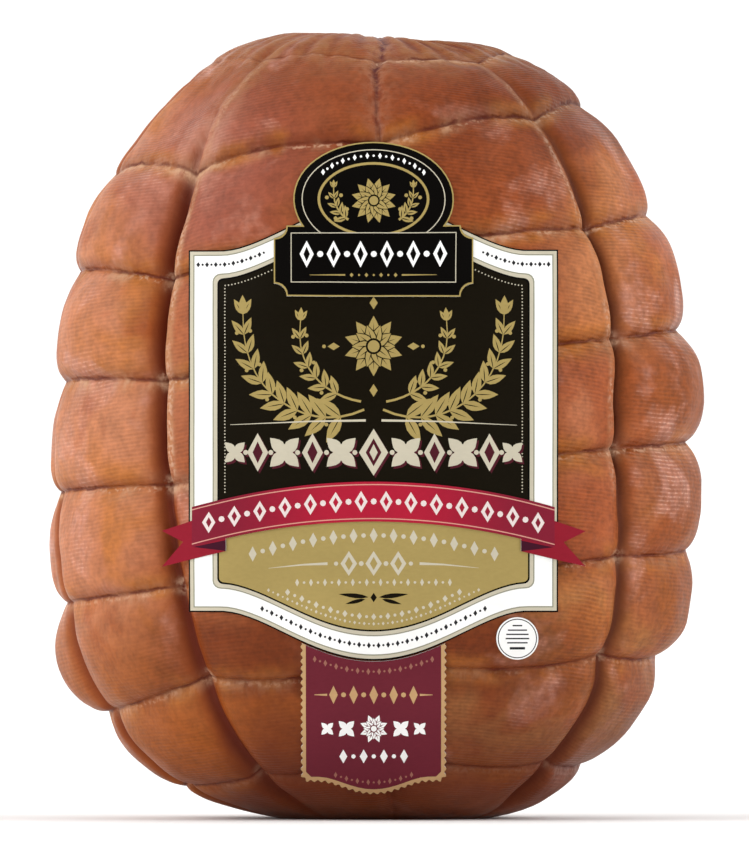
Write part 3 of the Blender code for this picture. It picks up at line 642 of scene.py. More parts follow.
# fine mottling of the rind
fleck = mottle(place, 0.0036, 2.5, 0.15, 0.55)
grain = mottle(place, 0.0009, 2.0, 0.0, 0.6)
tone = plus(span(fleck, 0.25, 0.75, 0.88, 1.12), times(relief, 0.095))
grain_share = span(across, -0.030, 0.030, 0.10, 0.15)
tone = plus(tone, times(span(grain, 0.25, 0.75, -1.0, 1.0), grain_share))
tone_colour = put(tree, "ShaderNodeCombineXYZ", {"X": tone, "Y": tone, "Z": tone}).outputs["Vector"]
colour = vectors("MULTIPLY", colour, tone_colour)
# the marks of the upright cords: painted shade as a saturated dark flank, a pale speckled ledge and a thin
# line
painted_flank_shade = tint(right_side, (0.300, 0.062, 0.010), (0.230, 0.056, 0.012))
colour = tint(span(shade, 0.03, 0.60, 0.0, 0.75), colour, painted_flank_shade)
painted_flank_shade = tint(right_side, (0.120, 0.013, 0.004), (0.100, 0.020, 0.005))
colour = tint(span(shade, 0.30, 0.90, 0.0, 0.88), colour, painted_flank_shade)
pale = times(ledge_mark, span(crumb, 0.34, 0.60, 0.22, 0.68), span(right_side, 0.0, 1.0, 1.0, 0.60))
colour = tint(pale, colour, (0.520, 0.250, 0.120))
beads = times(ledge_mark, hill(cord_mm, 2.6, 2.6), span(bead, 0.40, 0.66, 0.0, 0.66))
beads = times(beads, patches(0.008, (2.9, 4.4, 7.3), 0.36, 0.56))
colour = tint(beads, colour, (0.690, 0.430, 0.300))
wander = maths("SUBTRACT", mottle(place, 0.0032, 2.0), 0.5)
jitter = maths("SUBTRACT", grain, 0.5)
cord_wander = plus(cord_mm, times(wander, 1.4))
cord_line = times(hill(cord_wander, -0.10, 0.80), line_mark, span(wobble, 0.30, 0.55, 0.45, 0.90))
colour = tint(cord_line, colour, (0.085, 0.014, 0.008))
# the crown: pale crumpled casing, painted shade between its pleats, and dark red in the torn crease with
# pale crumbs beside it
creased = mottle(stretched(place, (1, 1, 0.7), (3.7, 0.6, 5.5)), 0.0042, 4.0, 0.5, 0.65)
creased = plus(creased, times(gather, 0.16))
old_casing = times(crumple_mark, span(creased, 0.34, 0.66, 0.10, 0.66))
casing_tone = tint(span(upward, 0.218, 0.236), (0.540, 0.265, 0.185), (0.350, 0.150, 0.058))
colour = tint(old_casing, colour, casing_tone)
# painted shade in the hollows between the pleats
colour = tint(span(gather, -0.15, -0.9, 0.0, 0.62), colour, (0.150, 0.030, 0.010))
crumbs = times(gash_side, span(crumb, 0.36, 0.60, 0.0, 0.75))
colour = tint(crumbs, colour, (0.470, 0.225, 0.130))
colour = tint(times(gash_mark, span(bead, 0.34, 0.62, 0.35, 1.0)), colour, (0.110, 0.016, 0.016))
# the marks of the rings: painted shade as a dark soft underside over the line, a pale crinkled zone round
# it, and the line
at_ring = span(by_ring, 0.12, 0.35)
painted_underside_shade = times(span(ring_mm, 5.0, 0.2), span(ring_mm, -0.4, 0.3), at_ring, 0.55)
colour = tint(painted_underside_shade, colour, (0.185, 0.036, 0.009))
crimp = mottle(stretched(place, (1, 1, 0.45), (1.2, 3.3, 6.1)), 0.0012, 3.0, 0.0, 0.6)
zone = times(span(by_ring, 0.15, 0.70), patches(0.009, (4.1, 8.2, 1.9), 0.42, 0.58, 0.85))
zone = times(zone, span(crimp, 0.36, 0.60, 0.25, 0.95), span(ring_mm, 1.2, -1.0, 0.25, 1.0))
zone = times(zone, span(right_side, 0.0, 1.0, 1.0, 0.45), span(upward, 0.05, 0.11, 0.35, 1.0))
colour = tint(zone, colour, (0.620, 0.350, 0.200))
speckle = times(span(crossing_mark, 0.25, 0.8), span(crumb, 0.42, 0.64, 0.0, 0.65))
colour = tint(speckle, colour, (0.640, 0.400, 0.260))
ring_wander = plus(ring_mm, plus(times(wander, 1.8), times(jitter, 0.8)))
ring_line = times(hill(ring_wander, 0.05, 0.95), at_ring)
ring_line = times(ring_line, span(mottle(place, 0.0060, 3.0), 0.38, 0.58, 0.22, 0.86))
colour = tint(ring_line, colour, (0.118, 0.016, 0.007))
frayed = times(hill(ring_wander, -1.1, 1.2), at_ring, span(bead, 0.46, 0.62, 0.0, 0.75))
frayed = times(frayed, patches(0.013, (9.1, 2.2, 5.7), 0.42, 0.56), span(upward, 0.05, 0.11, 0.4, 1.0))
colour = tint(frayed, colour, (0.650, 0.380, 0.240))
# painted shade darkens the foot, the smoke darkened the whole, and painted shade the upper right more
foot_level = plus(upward, times(wobble, 0.024))
foot_level = plus(foot_level, span(across, -0.030, -0.060, 0.0, 0.036))
foot_shade = times(span(foot_level, 0.078, 0.020), span(across, -0.02, 0.05, 0.82, 0.76),
                  span(upward, 0.0, 0.010, 0.70, 1.0))
colour = tint(foot_shade, colour, (0.110, 0.015, 0.004))
darkening = span(shaded_high_right, 0.0, 0.70, SMOKED, SHADED_HIGH)
colour = vectors("SCALE", colour, darkening)

# moist rind, a little glossier where the film dried and duller on the pale ledges
roughness = span(mottle(place, 0.006, 4.0), 0.30, 0.70, 0.40, 0.56)
roughness = plus(maths("SUBTRACT", roughness, times(film_and_sheen_patch, 0.10)), times(pale, 0.12))

# heights in millimetres
height = plus(
    times(relief, 0.050),
    times(fleck, 0.18),
    times(grain, 0.10),
    times(crimp, span(by_ring, 0.15, 0.8, 0.0, 0.35)),
    times(crimp, maths("MAXIMUM", valley, ledge_mark), 0.35),
    times(creased, crumple_mark, 0.9),
    times(crumb, gash_side, 0.5),
)
for line, pressed in ((ring_line, 0.25), (cord_line, 0.30)):   # the lines lie lower
    height = maths("SUBTRACT", height, times(line, pressed))
finish_material(shader, colour, roughness, height, RIND_SHINE)
ham_mesh.materials.append(rind)
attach(ham, "root")
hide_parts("ham")

# ---- The main label ----
# A sheet of coated paper with a waved top and bottom, printed with a black, cream and white border round a
# dark field of gilt leaf sprays and a gold field with rows of beads. It is laid on the moist meat, follows
# its swell and bridges the narrow grooves. Sizes of the prints are in millimetres, seen from the front.
LABEL_X = -0.6
SHEET = 0.25                   # thickness of the paper
LOWER_LIFT = 0.45              # underside of a label that lies on the meat
UPPER_LIFT = 0.95              # underside of one that lies on the main label
SHEET_GRID = 2.6               # spacing of a sheet's inner points
SHEET_EDGE = 3.0               # longest step along a printed edge
DRAPE_STEP = 0.002
DRAPE_RADIUS = 0.060           # the tightest hollow that a label follows
DRAPE_SLOPE = 2.0
DRAPE_X = (-0.070, 0.070)
DRAPE_Z = (0.004, 0.220)
PANEL_HALF_WIDTH = 58.0
PANEL_TOP = 180.3
PANEL_BOTTOM = 66.2
PANEL_WAVE_HALF_WIDTH = 47.5
PANEL_RISE = 15.0


def grown(field, axis):
    """Grows a height field by the drape's parabola along one axis."""
    steps = np.arange(field.shape[axis]) * DRAPE_STEP
    fall = (steps[:, None] - steps[None, :]) ** 2 / (2 * DRAPE_RADIUS)
    lines = np.moveaxis(field, axis, 0)
    return np.moveaxis(np.stack([(lines - row[:, None]).max(axis=0) for row in fall]), 0, axis)


def taut_surface(mesh):
    """How far in front of the ham's axis a taut label lies, on a grid seen from the front."""
    corners = [vertex.co for vertex in mesh.vertices]
    tree = BVHTree.FromPolygons(corners, [list(face.vertices) for face in mesh.polygons])
    across = np.arange(DRAPE_X[0], DRAPE_X[1] + DRAPE_STEP / 2, DRAPE_STEP)
    upward = np.arange(DRAPE_Z[0], DRAPE_Z[1] + DRAPE_STEP / 2, DRAPE_STEP)
    front = np.zeros((len(across), len(upward)))
    for i, x in enumerate(across):
        for j, z in enumerate(upward):
            hit = tree.ray_cast(Vector((x, -2 * FRONT_DEPTH, z)), Vector((0, 1, 0)))[0]
            front[i, j] = -hit.y if hit else 0.0
    margin = round(DRAPE_SLOPE * DRAPE_RADIUS / DRAPE_STEP)
    wide = np.pad(front, margin, constant_values=-1.0)
    closed = -grown(grown(-grown(grown(wide, 0), 1), 0), 1)
    return closed[margin:-margin, margin:-margin]


def between(field, x, z):
    """A field's values between its grid points."""
    across = np.clip((x - DRAPE_X[0]) / DRAPE_STEP, 0, field.shape[0] - 1.001)
    upward = np.clip((z - DRAPE_Z[0]) / DRAPE_STEP, 0, field.shape[1] - 1.001)
    i, j = across.astype(int), upward.astype(int)
    u, v = across - i, upward - j
    near = field[i, j] * (1 - u) + field[i + 1, j] * u
    far = field[i, j + 1] * (1 - u) + field[i + 1, j + 1] * u
    return near * (1 - v) + far * v


taut = taut_surface(ham_mesh)
taut_slopes = np.gradient(taut, DRAPE_STEP)


def laid_on(places, lift):
    """Points of a label, in metres, lifted off the taut surface by so many millimetres."""
    x, z = np.array(places).T / 1000
    lean = [between(slope, x, z) for slope in taut_slopes]
    outwards = np.stack((-lean[0], -np.ones_like(x), -lean[1]), axis=-1)
    outwards /= np.linalg.norm(outwards, axis=-1, keepdims=True)
    return np.stack((x, -between(taut, x, z), z), axis=-1) + outwards * lift / 1000


def split_sides(outline):
    points = []
    for start, end in zip(outline, outline[1:] + outline[:1]):
        steps = max(1, math.ceil(math.dist(start, end) / SHEET_EDGE))
        points += [tuple(a + (b - a) * step / steps for a, b in zip(start, end)) for step in range(steps)]
    return points


def print_sheet(name, shapes, lift, backing):
    """A thin sheet on the taut surface. Shapes are (ink, outline), each printed over the ones before it."""
    places, loops, printed = [], [], []
    for ink, outline in shapes:
        rim = split_sides([(LABEL_X + x, z) for x, z in outline])
        area = sum(a[0] * b[1] - b[0] * a[1] for a, b in zip(rim, rim[1:] + rim[:1]))
        loop = list(range(len(places), len(places) + len(rim)))
        loops.append(loop if area > 0 else loop[::-1])
        places += rim
        printed.append(ink)
    sheet = np.array(places[:len(loops[0])])
    low, high = sheet.min(axis=0), sheet.max(axis=0)
    columns, levels = (np.arange(low[axis], high[axis], SHEET_GRID) for axis in (0, 1))
    grid = [(x, z) for x in columns for z in levels]
    flat = [Vector(place) for place in places + grid]
    spots, _, cuts, _, _, sources = geometry.delaunay_2d_cdt(flat, [], loops, 1, 1e-5)
    kept = [(cut, max(source)) for cut, source in zip(cuts, sources) if 0 in source]
    used = sorted({corner for cut, _ in kept for corner in cut})
    order = {corner: k for k, corner in enumerate(used)}
    flat_spots = [tuple(spots[corner]) for corner in used]
    top = laid_on(flat_spots, lift + SHEET)
    under = laid_on(flat_spots, lift)
    cover = [[order[corner] for corner in cut] for cut, _ in kept]
    sides = {(a, b) for cut in cover for a, b in zip(cut, cut[1:] + cut[:1])}
    count = len(used)
    walls = [(b, a, a + count, b + count) for a, b in sides if (b, a) not in sides]
    back = [[corner + count for corner in reversed(cut)] for cut in cover]
    mesh = bpy.data.meshes.new(name)
    mesh.from_pydata(np.concatenate((top, under)), [], cover + walls + back)
    inks = list(dict.fromkeys(printed))
    for ink in (*inks, backing):
        mesh.materials.append(ink)
    numbers = [inks.index(printed[source]) for _, source in kept]
    numbers += [len(inks)] * (len(walls) + len(back))
    mesh.polygons.foreach_set("material_index", numbers)
    mesh.shade_smooth()
    mesh.set_sharp_from_angle(angle=math.radians(60))
    return stand(name, mesh)


# print shapes, as outlines in millimetres
def evenly(low, high, count):
    return [low + (high - low) * k / (count - 1) for k in range(count)]


def oval(x, z, half_width, half_height=None, steps=12):
    half_height = half_height or half_width
    turns = [2 * math.pi * step / steps for step in range(steps)]
    return [(x + half_width * math.cos(turn), z + half_height * math.sin(turn)) for turn in turns]


def lozenge(x, z, half_width, half_height):
    return oval(x, z, half_width, half_height, 4)


def dot(x, z, radius):
    return oval(x, z, radius, steps=8)


def rectangle(left, right, low, high):
    return [(left, low), (right, low), (right, high), (left, high)]


LEAF_SWELL = 0.8               # under 1, the broadest part is nearer to the stalk


def leaf(x, z, length, width, turn):
    """A pointed leaf that springs from a point."""
    shares = (0.0, 0.2, 0.42, 0.62, 0.82, 1.0)
    sides = [(share, width / 2 * math.sin(math.pi * share**LEAF_SWELL)) for share in shares]
    loop = sides[:-1] + [(share, -half) for share, half in reversed(sides[1:])]
    ahead, aside = (math.cos(turn), math.sin(turn)), (-math.sin(turn), math.cos(turn))
    return [
        (x + ahead[0] * share * length + aside[0] * half, z + ahead[1] * share * length + aside[1] * half)
        for share, half in loop
    ]


def stroke(path, widths):
    """A line of changing width along a path."""
    left, right = [], []
    for k, (x, z) in enumerate(path):
        before, after = path[max(0, k - 1)], path[min(len(path) - 1, k + 1)]
        turn = math.atan2(after[1] - before[1], after[0] - before[0]) + math.pi / 2
        half = widths(k / (len(path) - 1)) / 2
        left.append((x + half * math.cos(turn), z + half * math.sin(turn)))
        right.append((x - half * math.cos(turn), z - half * math.sin(turn)))
    return right + left[::-1]


def both_sides(shapes):
    return shapes + [(ink, [(-x, z) for x, z in outline]) for ink, outline in shapes]


def closed_by_mirror(right):
    """The whole outline from its right half, which runs from the bottom's middle to the top's."""
    return right + [(-x, z) for x, z in reversed(right) if x > 1e-6]


def corner_arc(x, z, radius, start):
    turns = [math.radians(turn) for turn in evenly(start, start + 90, 5)]
    return [(x + radius * math.cos(turn), z + radius * math.sin(turn)) for turn in turns]


def wave(share):
    return (1 - math.cos(math.pi * max(0.0, share) ** 0.85)) / 2


def panel_wave(x):
    return PANEL_RISE * wave(1 - abs(x) / PANEL_WAVE_HALF_WIDTH)


def panel_outline(inset, corner):
    half, bottom, top = PANEL_HALF_WIDTH - inset, PANEL_BOTTOM + inset, PANEL_TOP - inset
    places = evenly(0.0, half - corner, 23)
    right = [(x, bottom - panel_wave(x)) for x in places]
    if corner:
        right += corner_arc(half - corner, bottom + corner, corner, -90)[1:]
        right += corner_arc(half - corner, top - corner, corner, 0)
        right = right[:-1]
    else:
        right.append((half, top))
        places = places[:-1]
    right += [(x, top + panel_wave(x)) for x in reversed(places)]
    return closed_by_mirror(right)


def bead_row(path, ink, half_width, half_height, bead=None):
    """Lozenges along a path, with a round bead of its own size in every second place if one is given."""
    made = []
    for k, (x, z) in enumerate(path):
        rounded = bead and k % 2
        made.append((ink, dot(x, z, bead) if rounded else lozenge(x, z, half_width, half_height)))
    return made


film = bpy.data.node_groups.new("print_finish", "ShaderNodeTree")
for socket, way, kind in (
    ("Ink", "INPUT", "Color"), ("Mottling", "INPUT", "Float"), ("Gloss", "INPUT", "Float"),
    ("Colour", "OUTPUT", "Color"), ("Roughness", "OUTPUT", "Float"), ("Height", "OUTPUT", "Float"),
):
    film.interface.new_socket(socket, in_out=way, socket_type="NodeSocket" + kind)
film_in = film.nodes.new("NodeGroupInput").outputs
film_out = film.nodes.new("NodeGroupOutput")
film_place = put(film, "ShaderNodeTexCoord").outputs["Object"]
fibre = mottle(stretched(film_place, (1, 1, 2.2)), 0.0009, 3.0)
cockle = mottle(film_place, 0.009, 2.0)
damp = mottle(stretched(film_place, (1, 1, 1), (4.2, 1.3, 2.6)), 0.014, 3.0)
tone = times(maths("SUBTRACT", fibre, 0.5), film_in["Mottling"])
tone = plus(plus(tone, 0.97), span(damp, 0.35, 0.7, -0.03, 0.03))
film.links.new(vectors("SCALE", film_in["Ink"], tone), film_out.inputs["Colour"])
gloss = maths("SUBTRACT", span(damp, 0.30, 0.70, 0.52, 0.40), film_in["Gloss"])
film.links.new(gloss, film_out.inputs["Roughness"])
ripple = plus(times(cockle, 0.10), times(fibre, 0.010))
film.links.new(ripple, film_out.inputs["Height"])


PAPER_SHINE = 0.03


def make_ink(name, colour, mottling=0.10, gloss=0.0):
    """A printed colour on coated paper."""
    made, tree, shader = start_material(name)
    finish = put(tree, "ShaderNodeGroup", node_tree=film)
    for socket, value in (("Ink", (*colour, 1.0)), ("Mottling", mottling), ("Gloss", gloss)):
        finish.inputs[socket].default_value = value
    finish_material(shader, *finish.outputs, PAPER_SHINE)
    return made


paper_back = make_ink("paper_back", (0.80, 0.79, 0.75))
black = make_ink("black_ink", (0.0026, 0.0020, 0.0016), 0.2)
cream = make_ink("cream_ink", (0.575, 0.525, 0.405))
grey = make_ink("grey_ink", (0.295, 0.290, 0.215))
white = make_ink("white_paper", (0.960, 0.955, 0.935), 0.05)
dark_field = make_ink("dark_field_ink", (0.0080, 0.0058, 0.0026), 0.3)
gold = make_ink("gold_ink", (0.385, 0.288, 0.100), 0.16, 0.06)
wine = make_ink("wine_ink", (0.075, 0.012, 0.020), 0.2)
dark_bead = make_ink("dark_bead_ink", (0.020, 0.019, 0.022), 0.2)

# the borders, each printed inside the one before it: ink, inset and corner radius
FIELD_INSET = 9.5
FIELD_SPLIT = 101.0            # the dark field above and the gold one below meet behind the ribbon
panel = [(ink, panel_outline(inset, corner)) for ink, inset, corner in (
    (black, 0.0, 0.0), (cream, 0.45, 0.0), (grey, 1.45, 0.0), (white, 1.85, 0.0),
    (grey, 7.45, 2.6), (cream, 7.85, 2.3), (black, 8.95, 1.8), (gold, FIELD_INSET, 1.5),
)]
edge = PANEL_HALF_WIDTH - FIELD_INSET
upper = [(x, z) for x, z in panel[-1][1] if z > FIELD_SPLIT]
panel.append((dark_field, [(-edge, FIELD_SPLIT), (edge, FIELD_SPLIT)] + upper))

# a fine beaded line just inside the dark field
BEAD_INSET = 11.3
beaded = [(edge + FIELD_INSET - BEAD_INSET, z) for z in evenly(104.0, PANEL_TOP - BEAD_INSET - 1.0, 64)]
beaded += [(x, PANEL_TOP - BEAD_INSET + panel_wave(x)) for x in evenly(46.6, 31.0, 16)]
panel += both_sides([(cream, lozenge(x, z, 0.27, 0.27)) for x, z in beaded])


def spray(path, count, length, start):
    """A curved twig with leaves in pairs that shorten to its tip, and berries between them."""
    made = [(gold, stroke(path, lambda share: 0.75 - 0.45 * share))]
    for k, share in enumerate(evenly(start, 1, count)):
        place = share * (len(path) - 1)
        step = min(int(place), len(path) - 2)
        part = place - step
        x, z = (a + (b - a) * part for a, b in zip(path[step], path[step + 1]))
        ahead = math.atan2(path[step + 1][1] - path[step][1], path[step + 1][0] - path[step][0])
        reach = length * (1 - 0.45 * share)
        for side in (-1, 1):
            spread = side * math.radians(52 - 22 * share)
            made.append((gold, leaf(x, z, reach, reach * 0.40, ahead + spread)))
            made.append((dark_field, leaf(x, z, reach * 0.72, 0.30, ahead + spread)))
            if k % 2:
                berry = ahead + 2.1 * spread
                aside = (2.3 * math.cos(berry), 2.3 * math.sin(berry))
                made.append((gold, dot(x + aside[0], z + aside[1], 0.62)))
    x, z = path[-1]
    made.append((gold, leaf(x, z, length * 0.6, length * 0.26, ahead)))
    return made


def bezier(points, count):
    made = []
    for t in evenly(0.0, 1.0, count):
        weights = ((1 - t) ** 3, 3 * t * (1 - t) ** 2, 3 * t * t * (1 - t), t**3)
        made.append(tuple(sum(w * p[axis] for w, p in zip(weights, points)) for axis in (0, 1)))
    return made


long_twig = bezier(((3.0, 130.0), (20.0, 122.0), (42.0, 134.0), (41.0, 160.0)), 15)
short_twig = bezier(((4.0, 132.5), (14.0, 134.0), (25.0, 142.0), (23.0, 158.0)), 12)
panel += both_sides(spray(long_twig, 11, 10.0, 0.14))
panel += both_sides(spray(short_twig, 7, 7.0, 0.25))


def rosette(x, z, radius, petals, ink, gap_ink):
    """A round flower of pointed petals about a beaded eye."""
    made = []
    for ring, scale in ((0.5, 1.0), (0.0, 0.72)):
        for k in range(petals):
            turn = 2 * math.pi * (k + ring) / petals
            made.append((gap_ink, leaf(x, z, radius * scale * 1.05, radius * scale * 0.56, turn)))
            made.append((ink, leaf(x, z, radius * scale, radius * scale * 0.46, turn)))
            made.append((gap_ink, leaf(x, z, radius * scale * 0.8, 0.32, turn)))
    made.append((gap_ink, oval(x, z, radius * 0.27, steps=16)))
    made.append((ink, oval(x, z, radius * 0.20, steps=14)))
    return made


ROSETTE_HEIGHT = 150.0
panel += rosette(0.0, ROSETTE_HEIGHT, 9.5, 10, gold, dark_field)
panel += [(gold, lozenge(0.0, z, 1.3, 2.0)) for z in (136.0, 163.6)]
flankers = [lozenge(12.6, ROSETTE_HEIGHT, 1.9, 1.2), dot(15.6, ROSETTE_HEIGHT, 0.6)]
panel += both_sides([(gold, outline) for outline in flankers])

# a bold cream row under the sprays, each piece over a wine-dark shadow
BOLD_ROW = 116.6


def quatrefoil(x, z, size):
    petals = [leaf(x, z, size, size * 0.62, math.radians(turn)) for turn in (45, 135, 225, 315)]
    return petals + [lozenge(x, z, size * 0.42, size * 0.42)]


bold = [lozenge(0.0, BOLD_ROW, 4.6, 7.4)]
for x, kind in ((10.2, "flower"), (19.2, "lozenge"), (28.0, "flower"), (36.4, "lozenge"), (43.6, "flower")):
    if kind == "flower":
        bold += quatrefoil(x, BOLD_ROW, 6.4 if x < 40 else 4.4)
    else:
        bold.append(lozenge(x, BOLD_ROW, 3.3, 6.0))
bold_dots = [dot(x, BOLD_ROW, 0.8) for x in (5.9, 14.8, 23.9, 32.3, 40.2)]
for outline in bold + bold_dots:
    shadow = [(x + 0.6, z - 0.7) for x, z in outline]
    panel.append((wine, shadow))
    if outline is not bold[0]:
        panel.append((wine, [(1.2 - x, z) for x, z in shadow]))
panel.append((cream, bold[0]))
panel += both_sides([(cream, outline) for outline in bold[1:] + bold_dots])
panel += [(wine, lozenge(0.0, BOLD_ROW, 2.5, 4.4)), (cream, lozenge(0.0, BOLD_ROW, 1.3, 2.6))]
panel += both_sides([(wine, lozenge(x, BOLD_ROW, 1.6, 3.4)) for x in (19.2, 36.4)])
rule = stroke([(2.5, 126.6), (20.0, 126.3), (45.0, 125.2)], lambda share: 0.75 * (1 - 0.8 * share))
panel += both_sides([(cream, rule)])

# rows of beads on the gold field
TRIO_ROW = 81.6
arch = [(x, 90.4 - x * x / 250) for x in evenly(-38.0, 38.0, 25)]
panel += bead_row(arch, cream, 1.25, 2.35, 0.75)
for ink, half_width, half_height in ((cream, 2.6, 3.9), (gold, 1.2, 2.1)):
    panel += [(ink, lozenge(x, TRIO_ROW, half_width, half_height)) for x in (-7.8, 0.0, 7.8)]
flourish = stroke([(14.5, TRIO_ROW), (22.0, 81.3), (33.0, 80.2)], lambda share: 0.9 - 0.8 * share)
panel += both_sides([(cream, dot(3.9, TRIO_ROW, 0.8)), (cream, dot(11.8, TRIO_ROW, 0.7)), (cream, flourish)])
panel += bead_row([(x, 75.6) for x in evenly(-24.0, 24.0, 23)], cream, 0.62, 1.25, 0.42)
panel += both_sides([(dark_field, leaf(1.6, 70.9, 9.5, 1.5, math.radians(6))),
                     (dark_field, leaf(2.6, 70.3, 6.5, 1.2, math.radians(-14)))])
panel.append((dark_field, lozenge(0.0, 70.8, 1.0, 1.5)))
hem = [(x, PANEL_BOTTOM + 13.6 - panel_wave(x)) for x in evenly(-27.0, 27.0, 25)]
panel += bead_row(hem, cream, 0.8, 1.1, 0.5)
hem = [(x, PANEL_BOTTOM + 11.4 - panel_wave(x)) for x in evenly(-33.0, 33.0, 45)]
panel += bead_row(hem, cream, 0.45, 0.6, 0.3)

# dark beads on the white border
brow = [(x, PANEL_TOP - 4.6 + panel_wave(x)) for x in evenly(55.0, 34.5, 16)]
panel += both_sides(bead_row(brow, dark_bead, 0.62, 0.85, 0.38))
hem = [(x, PANEL_BOTTOM + 4.6 - panel_wave(x)) for x in evenly(-35.0, 35.0, 47)]
panel += bead_row(hem, dark_bead, 0.62, 0.95, 0.38)
main_label = print_sheet("main_label", panel, LOWER_LIFT, paper_back)
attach(main_label, "root")
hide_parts("label_panel")

# ---- The tab ----
# A maroon paper tab with a pinked tan edge and rows of tan and white ornament. It lies just below the main
# label's lower edge, on the meat.
TAB_HALF_WIDTH = 22.7
TAB_BOTTOM = 13.0
TAB_DIP = 4.0
TAB_WAVE_HALF_WIDTH = 17.0
TAB_CORNER = 1.6
TAB_GAP = 0.4
TOOTH = 2.27                   # pitch of the pinked edge
TOOTH_DEPTH = 0.7
TOOTH_STEPS = 6


def tab_outline(inset, pinked=False):
    half, bottom = TAB_HALF_WIDTH - inset, TAB_BOTTOM + inset
    places = evenly(0.0, half - TAB_CORNER, 9)
    right = [(x, bottom - TAB_DIP * wave(1 - x / TAB_WAVE_HALF_WIDTH)) for x in places]
    right.append((half, bottom + TAB_CORNER))
    top = [(x, PANEL_BOTTOM - TAB_GAP - panel_wave(x)) for x in evenly(half, 0.0, 9)]
    if not pinked:
        return closed_by_mirror(right + top)
    edge = np.array(right + top[:1])
    walked = np.concatenate(([0], np.cumsum(np.linalg.norm(np.diff(edge, axis=0), axis=1))))
    places = np.linspace(0, walked[-1], TOOTH_STEPS * round(walked[-1] / TOOTH) + 1)
    x, z = np.interp(places, walked, edge[:, 0]), np.interp(places, walked, edge[:, 1])
    turn = np.arctan2(np.gradient(z), np.gradient(x)) - np.pi / 2
    out = -TOOTH_DEPTH / 2 * np.cos(2 * np.pi * np.arange(len(places)) / TOOTH_STEPS)
    made = list(zip(x + out * np.cos(turn) * (x > 0), z + out * np.sin(turn)))[:-1]
    return closed_by_mirror(made + top)


maroon = make_ink("maroon_ink", (0.147, 0.0205, 0.0330), 0.14)
tan = make_ink("tan_ink", (0.540, 0.335, 0.160), 0.14)
dusty_rose = make_ink("dusty_rose_ink", (0.330, 0.135, 0.100), 0.14)
tab_shapes = [(tan, tab_outline(0.1, pinked=True)), (maroon, tab_outline(1.4))]
arc = [(x, PANEL_BOTTOM - panel_wave(x) - 3.6) for x in evenly(-18.5, 18.5, 23)]
tab_shapes += bead_row(arc, dusty_rose, 0.60, 1.05, 0.36)
TAN_ROW = 40.2
row = [(x, TAN_ROW) for x in evenly(-12.6, 12.6, 9)]
tab_shapes += bead_row(row, tan, 1.35, 2.9, 0.8)
dash = stroke([(14.6, TAN_ROW), (18.6, TAN_ROW)], lambda share: 0.7 - 0.5 * share)
tab_shapes += both_sides([(tan, dash)])
FLOWER_ROW = 29.6
tab_shapes += rosette(0.0, FLOWER_ROW, 4.6, 8, white, maroon)
for x, size in ((8.6, 3.4), (14.6, 2.6)):
    tab_shapes += both_sides([(white, outline) for outline in quatrefoil(x, FLOWER_ROW, size)])
row = [(x, 20.9) for x in evenly(-9.6, 9.6, 7)]
tab_shapes += bead_row(row, white, 1.25, 2.2, 0.7)
arc = [(x, 12.6 + x * x / 60) for x in evenly(-12.0, 12.0, 15)]
tab_shapes += bead_row(arc, dusty_rose, 0.55, 0.95, 0.34)
tab = print_sheet("lower_tab", tab_shapes, LOWER_LIFT, paper_back)
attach(tab, "root")
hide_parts("label_tab")

# ---- The round seal ----
# A small white paper disc, printed with a dark ring and short bars. It is stuck on the meat below the main
# label's lower right corner.
SEAL_CENTRE = (44.6 - LABEL_X, 58.0)
SEAL_RADIUS = 6.6
seal_shapes = [
    (white, oval(*SEAL_CENTRE, SEAL_RADIUS, steps=48)),
    (dark_bead, oval(*SEAL_CENTRE, SEAL_RADIUS - 0.45, steps=48)),
    (white, oval(*SEAL_CENTRE, SEAL_RADIUS - 0.75, steps=48)),
]
for rise, half in ((4.0, 1.5), (2.6, 3.0), (1.3, 3.5), (0.0, 3.7), (-1.3, 3.2), (-3.0, 2.4)):
    x, z = SEAL_CENTRE[0], SEAL_CENTRE[1] + rise
    thick = 0.42 if rise > -3 else 0.75
    seal_shapes.append((dark_bead, rectangle(x - half, x + half, z - thick / 2, z + thick / 2)))
seal = print_sheet("round_seal", seal_shapes, LOWER_LIFT, paper_back)
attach(seal, "root")
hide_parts("label_seal")

# ---- The ribbon ----
# A dark red paper band, arched, with a swallow-tailed end at each side, its fold printed as a dark
# triangle. It is stuck across the main label, and its tails reach over the meat.
BAND_HALF_WIDTH = 56.7
BAND_TOP = 107.3
BAND_WIDTH = 12.5
BAND_ARC_RADIUS = 200.0
TAIL_REACH = 66.3
TAIL_NOTCH = 59.5
TAIL_FOLD = 10.5


def band_height(x, down=0.0):
    return BAND_TOP - down - x * x / (2 * BAND_ARC_RADIUS)


def band_outline(inset):
    places = evenly(0.0, BAND_HALF_WIDTH, 23)
    right = [(x, band_height(x, BAND_WIDTH - inset)) for x in places]
    return closed_by_mirror(right + [(x, band_height(x, inset)) for x in reversed(places)])


end_bottom = band_height(BAND_HALF_WIDTH, BAND_WIDTH)
fold_x = BAND_HALF_WIDTH - TAIL_FOLD
tail_root = BAND_HALF_WIDTH - 0.5
tail_tip = [
    (fold_x, end_bottom - 1.2), (BAND_HALF_WIDTH, end_bottom - 3.8), (TAIL_REACH, end_bottom - 6.2),
    (TAIL_NOTCH, end_bottom + 1.6), (TAIL_REACH, end_bottom + 5.0),
]
tail = tail_tip + [(tail_root, end_bottom + 8.2), (tail_root, end_bottom + 2.0), (fold_x, end_bottom + 2.2)]
fold = [tail[-1], tail[0], (BAND_HALF_WIDTH - 0.4, end_bottom + 0.05)]
crimson = make_ink("crimson_ink", (0.335, 0.0140, 0.0320), 0.12)
tail_red = make_ink("tail_red_ink", (0.268, 0.0130, 0.0270), 0.12)
fold_dark = make_ink("fold_dark_ink", (0.052, 0.008, 0.020), 0.2)
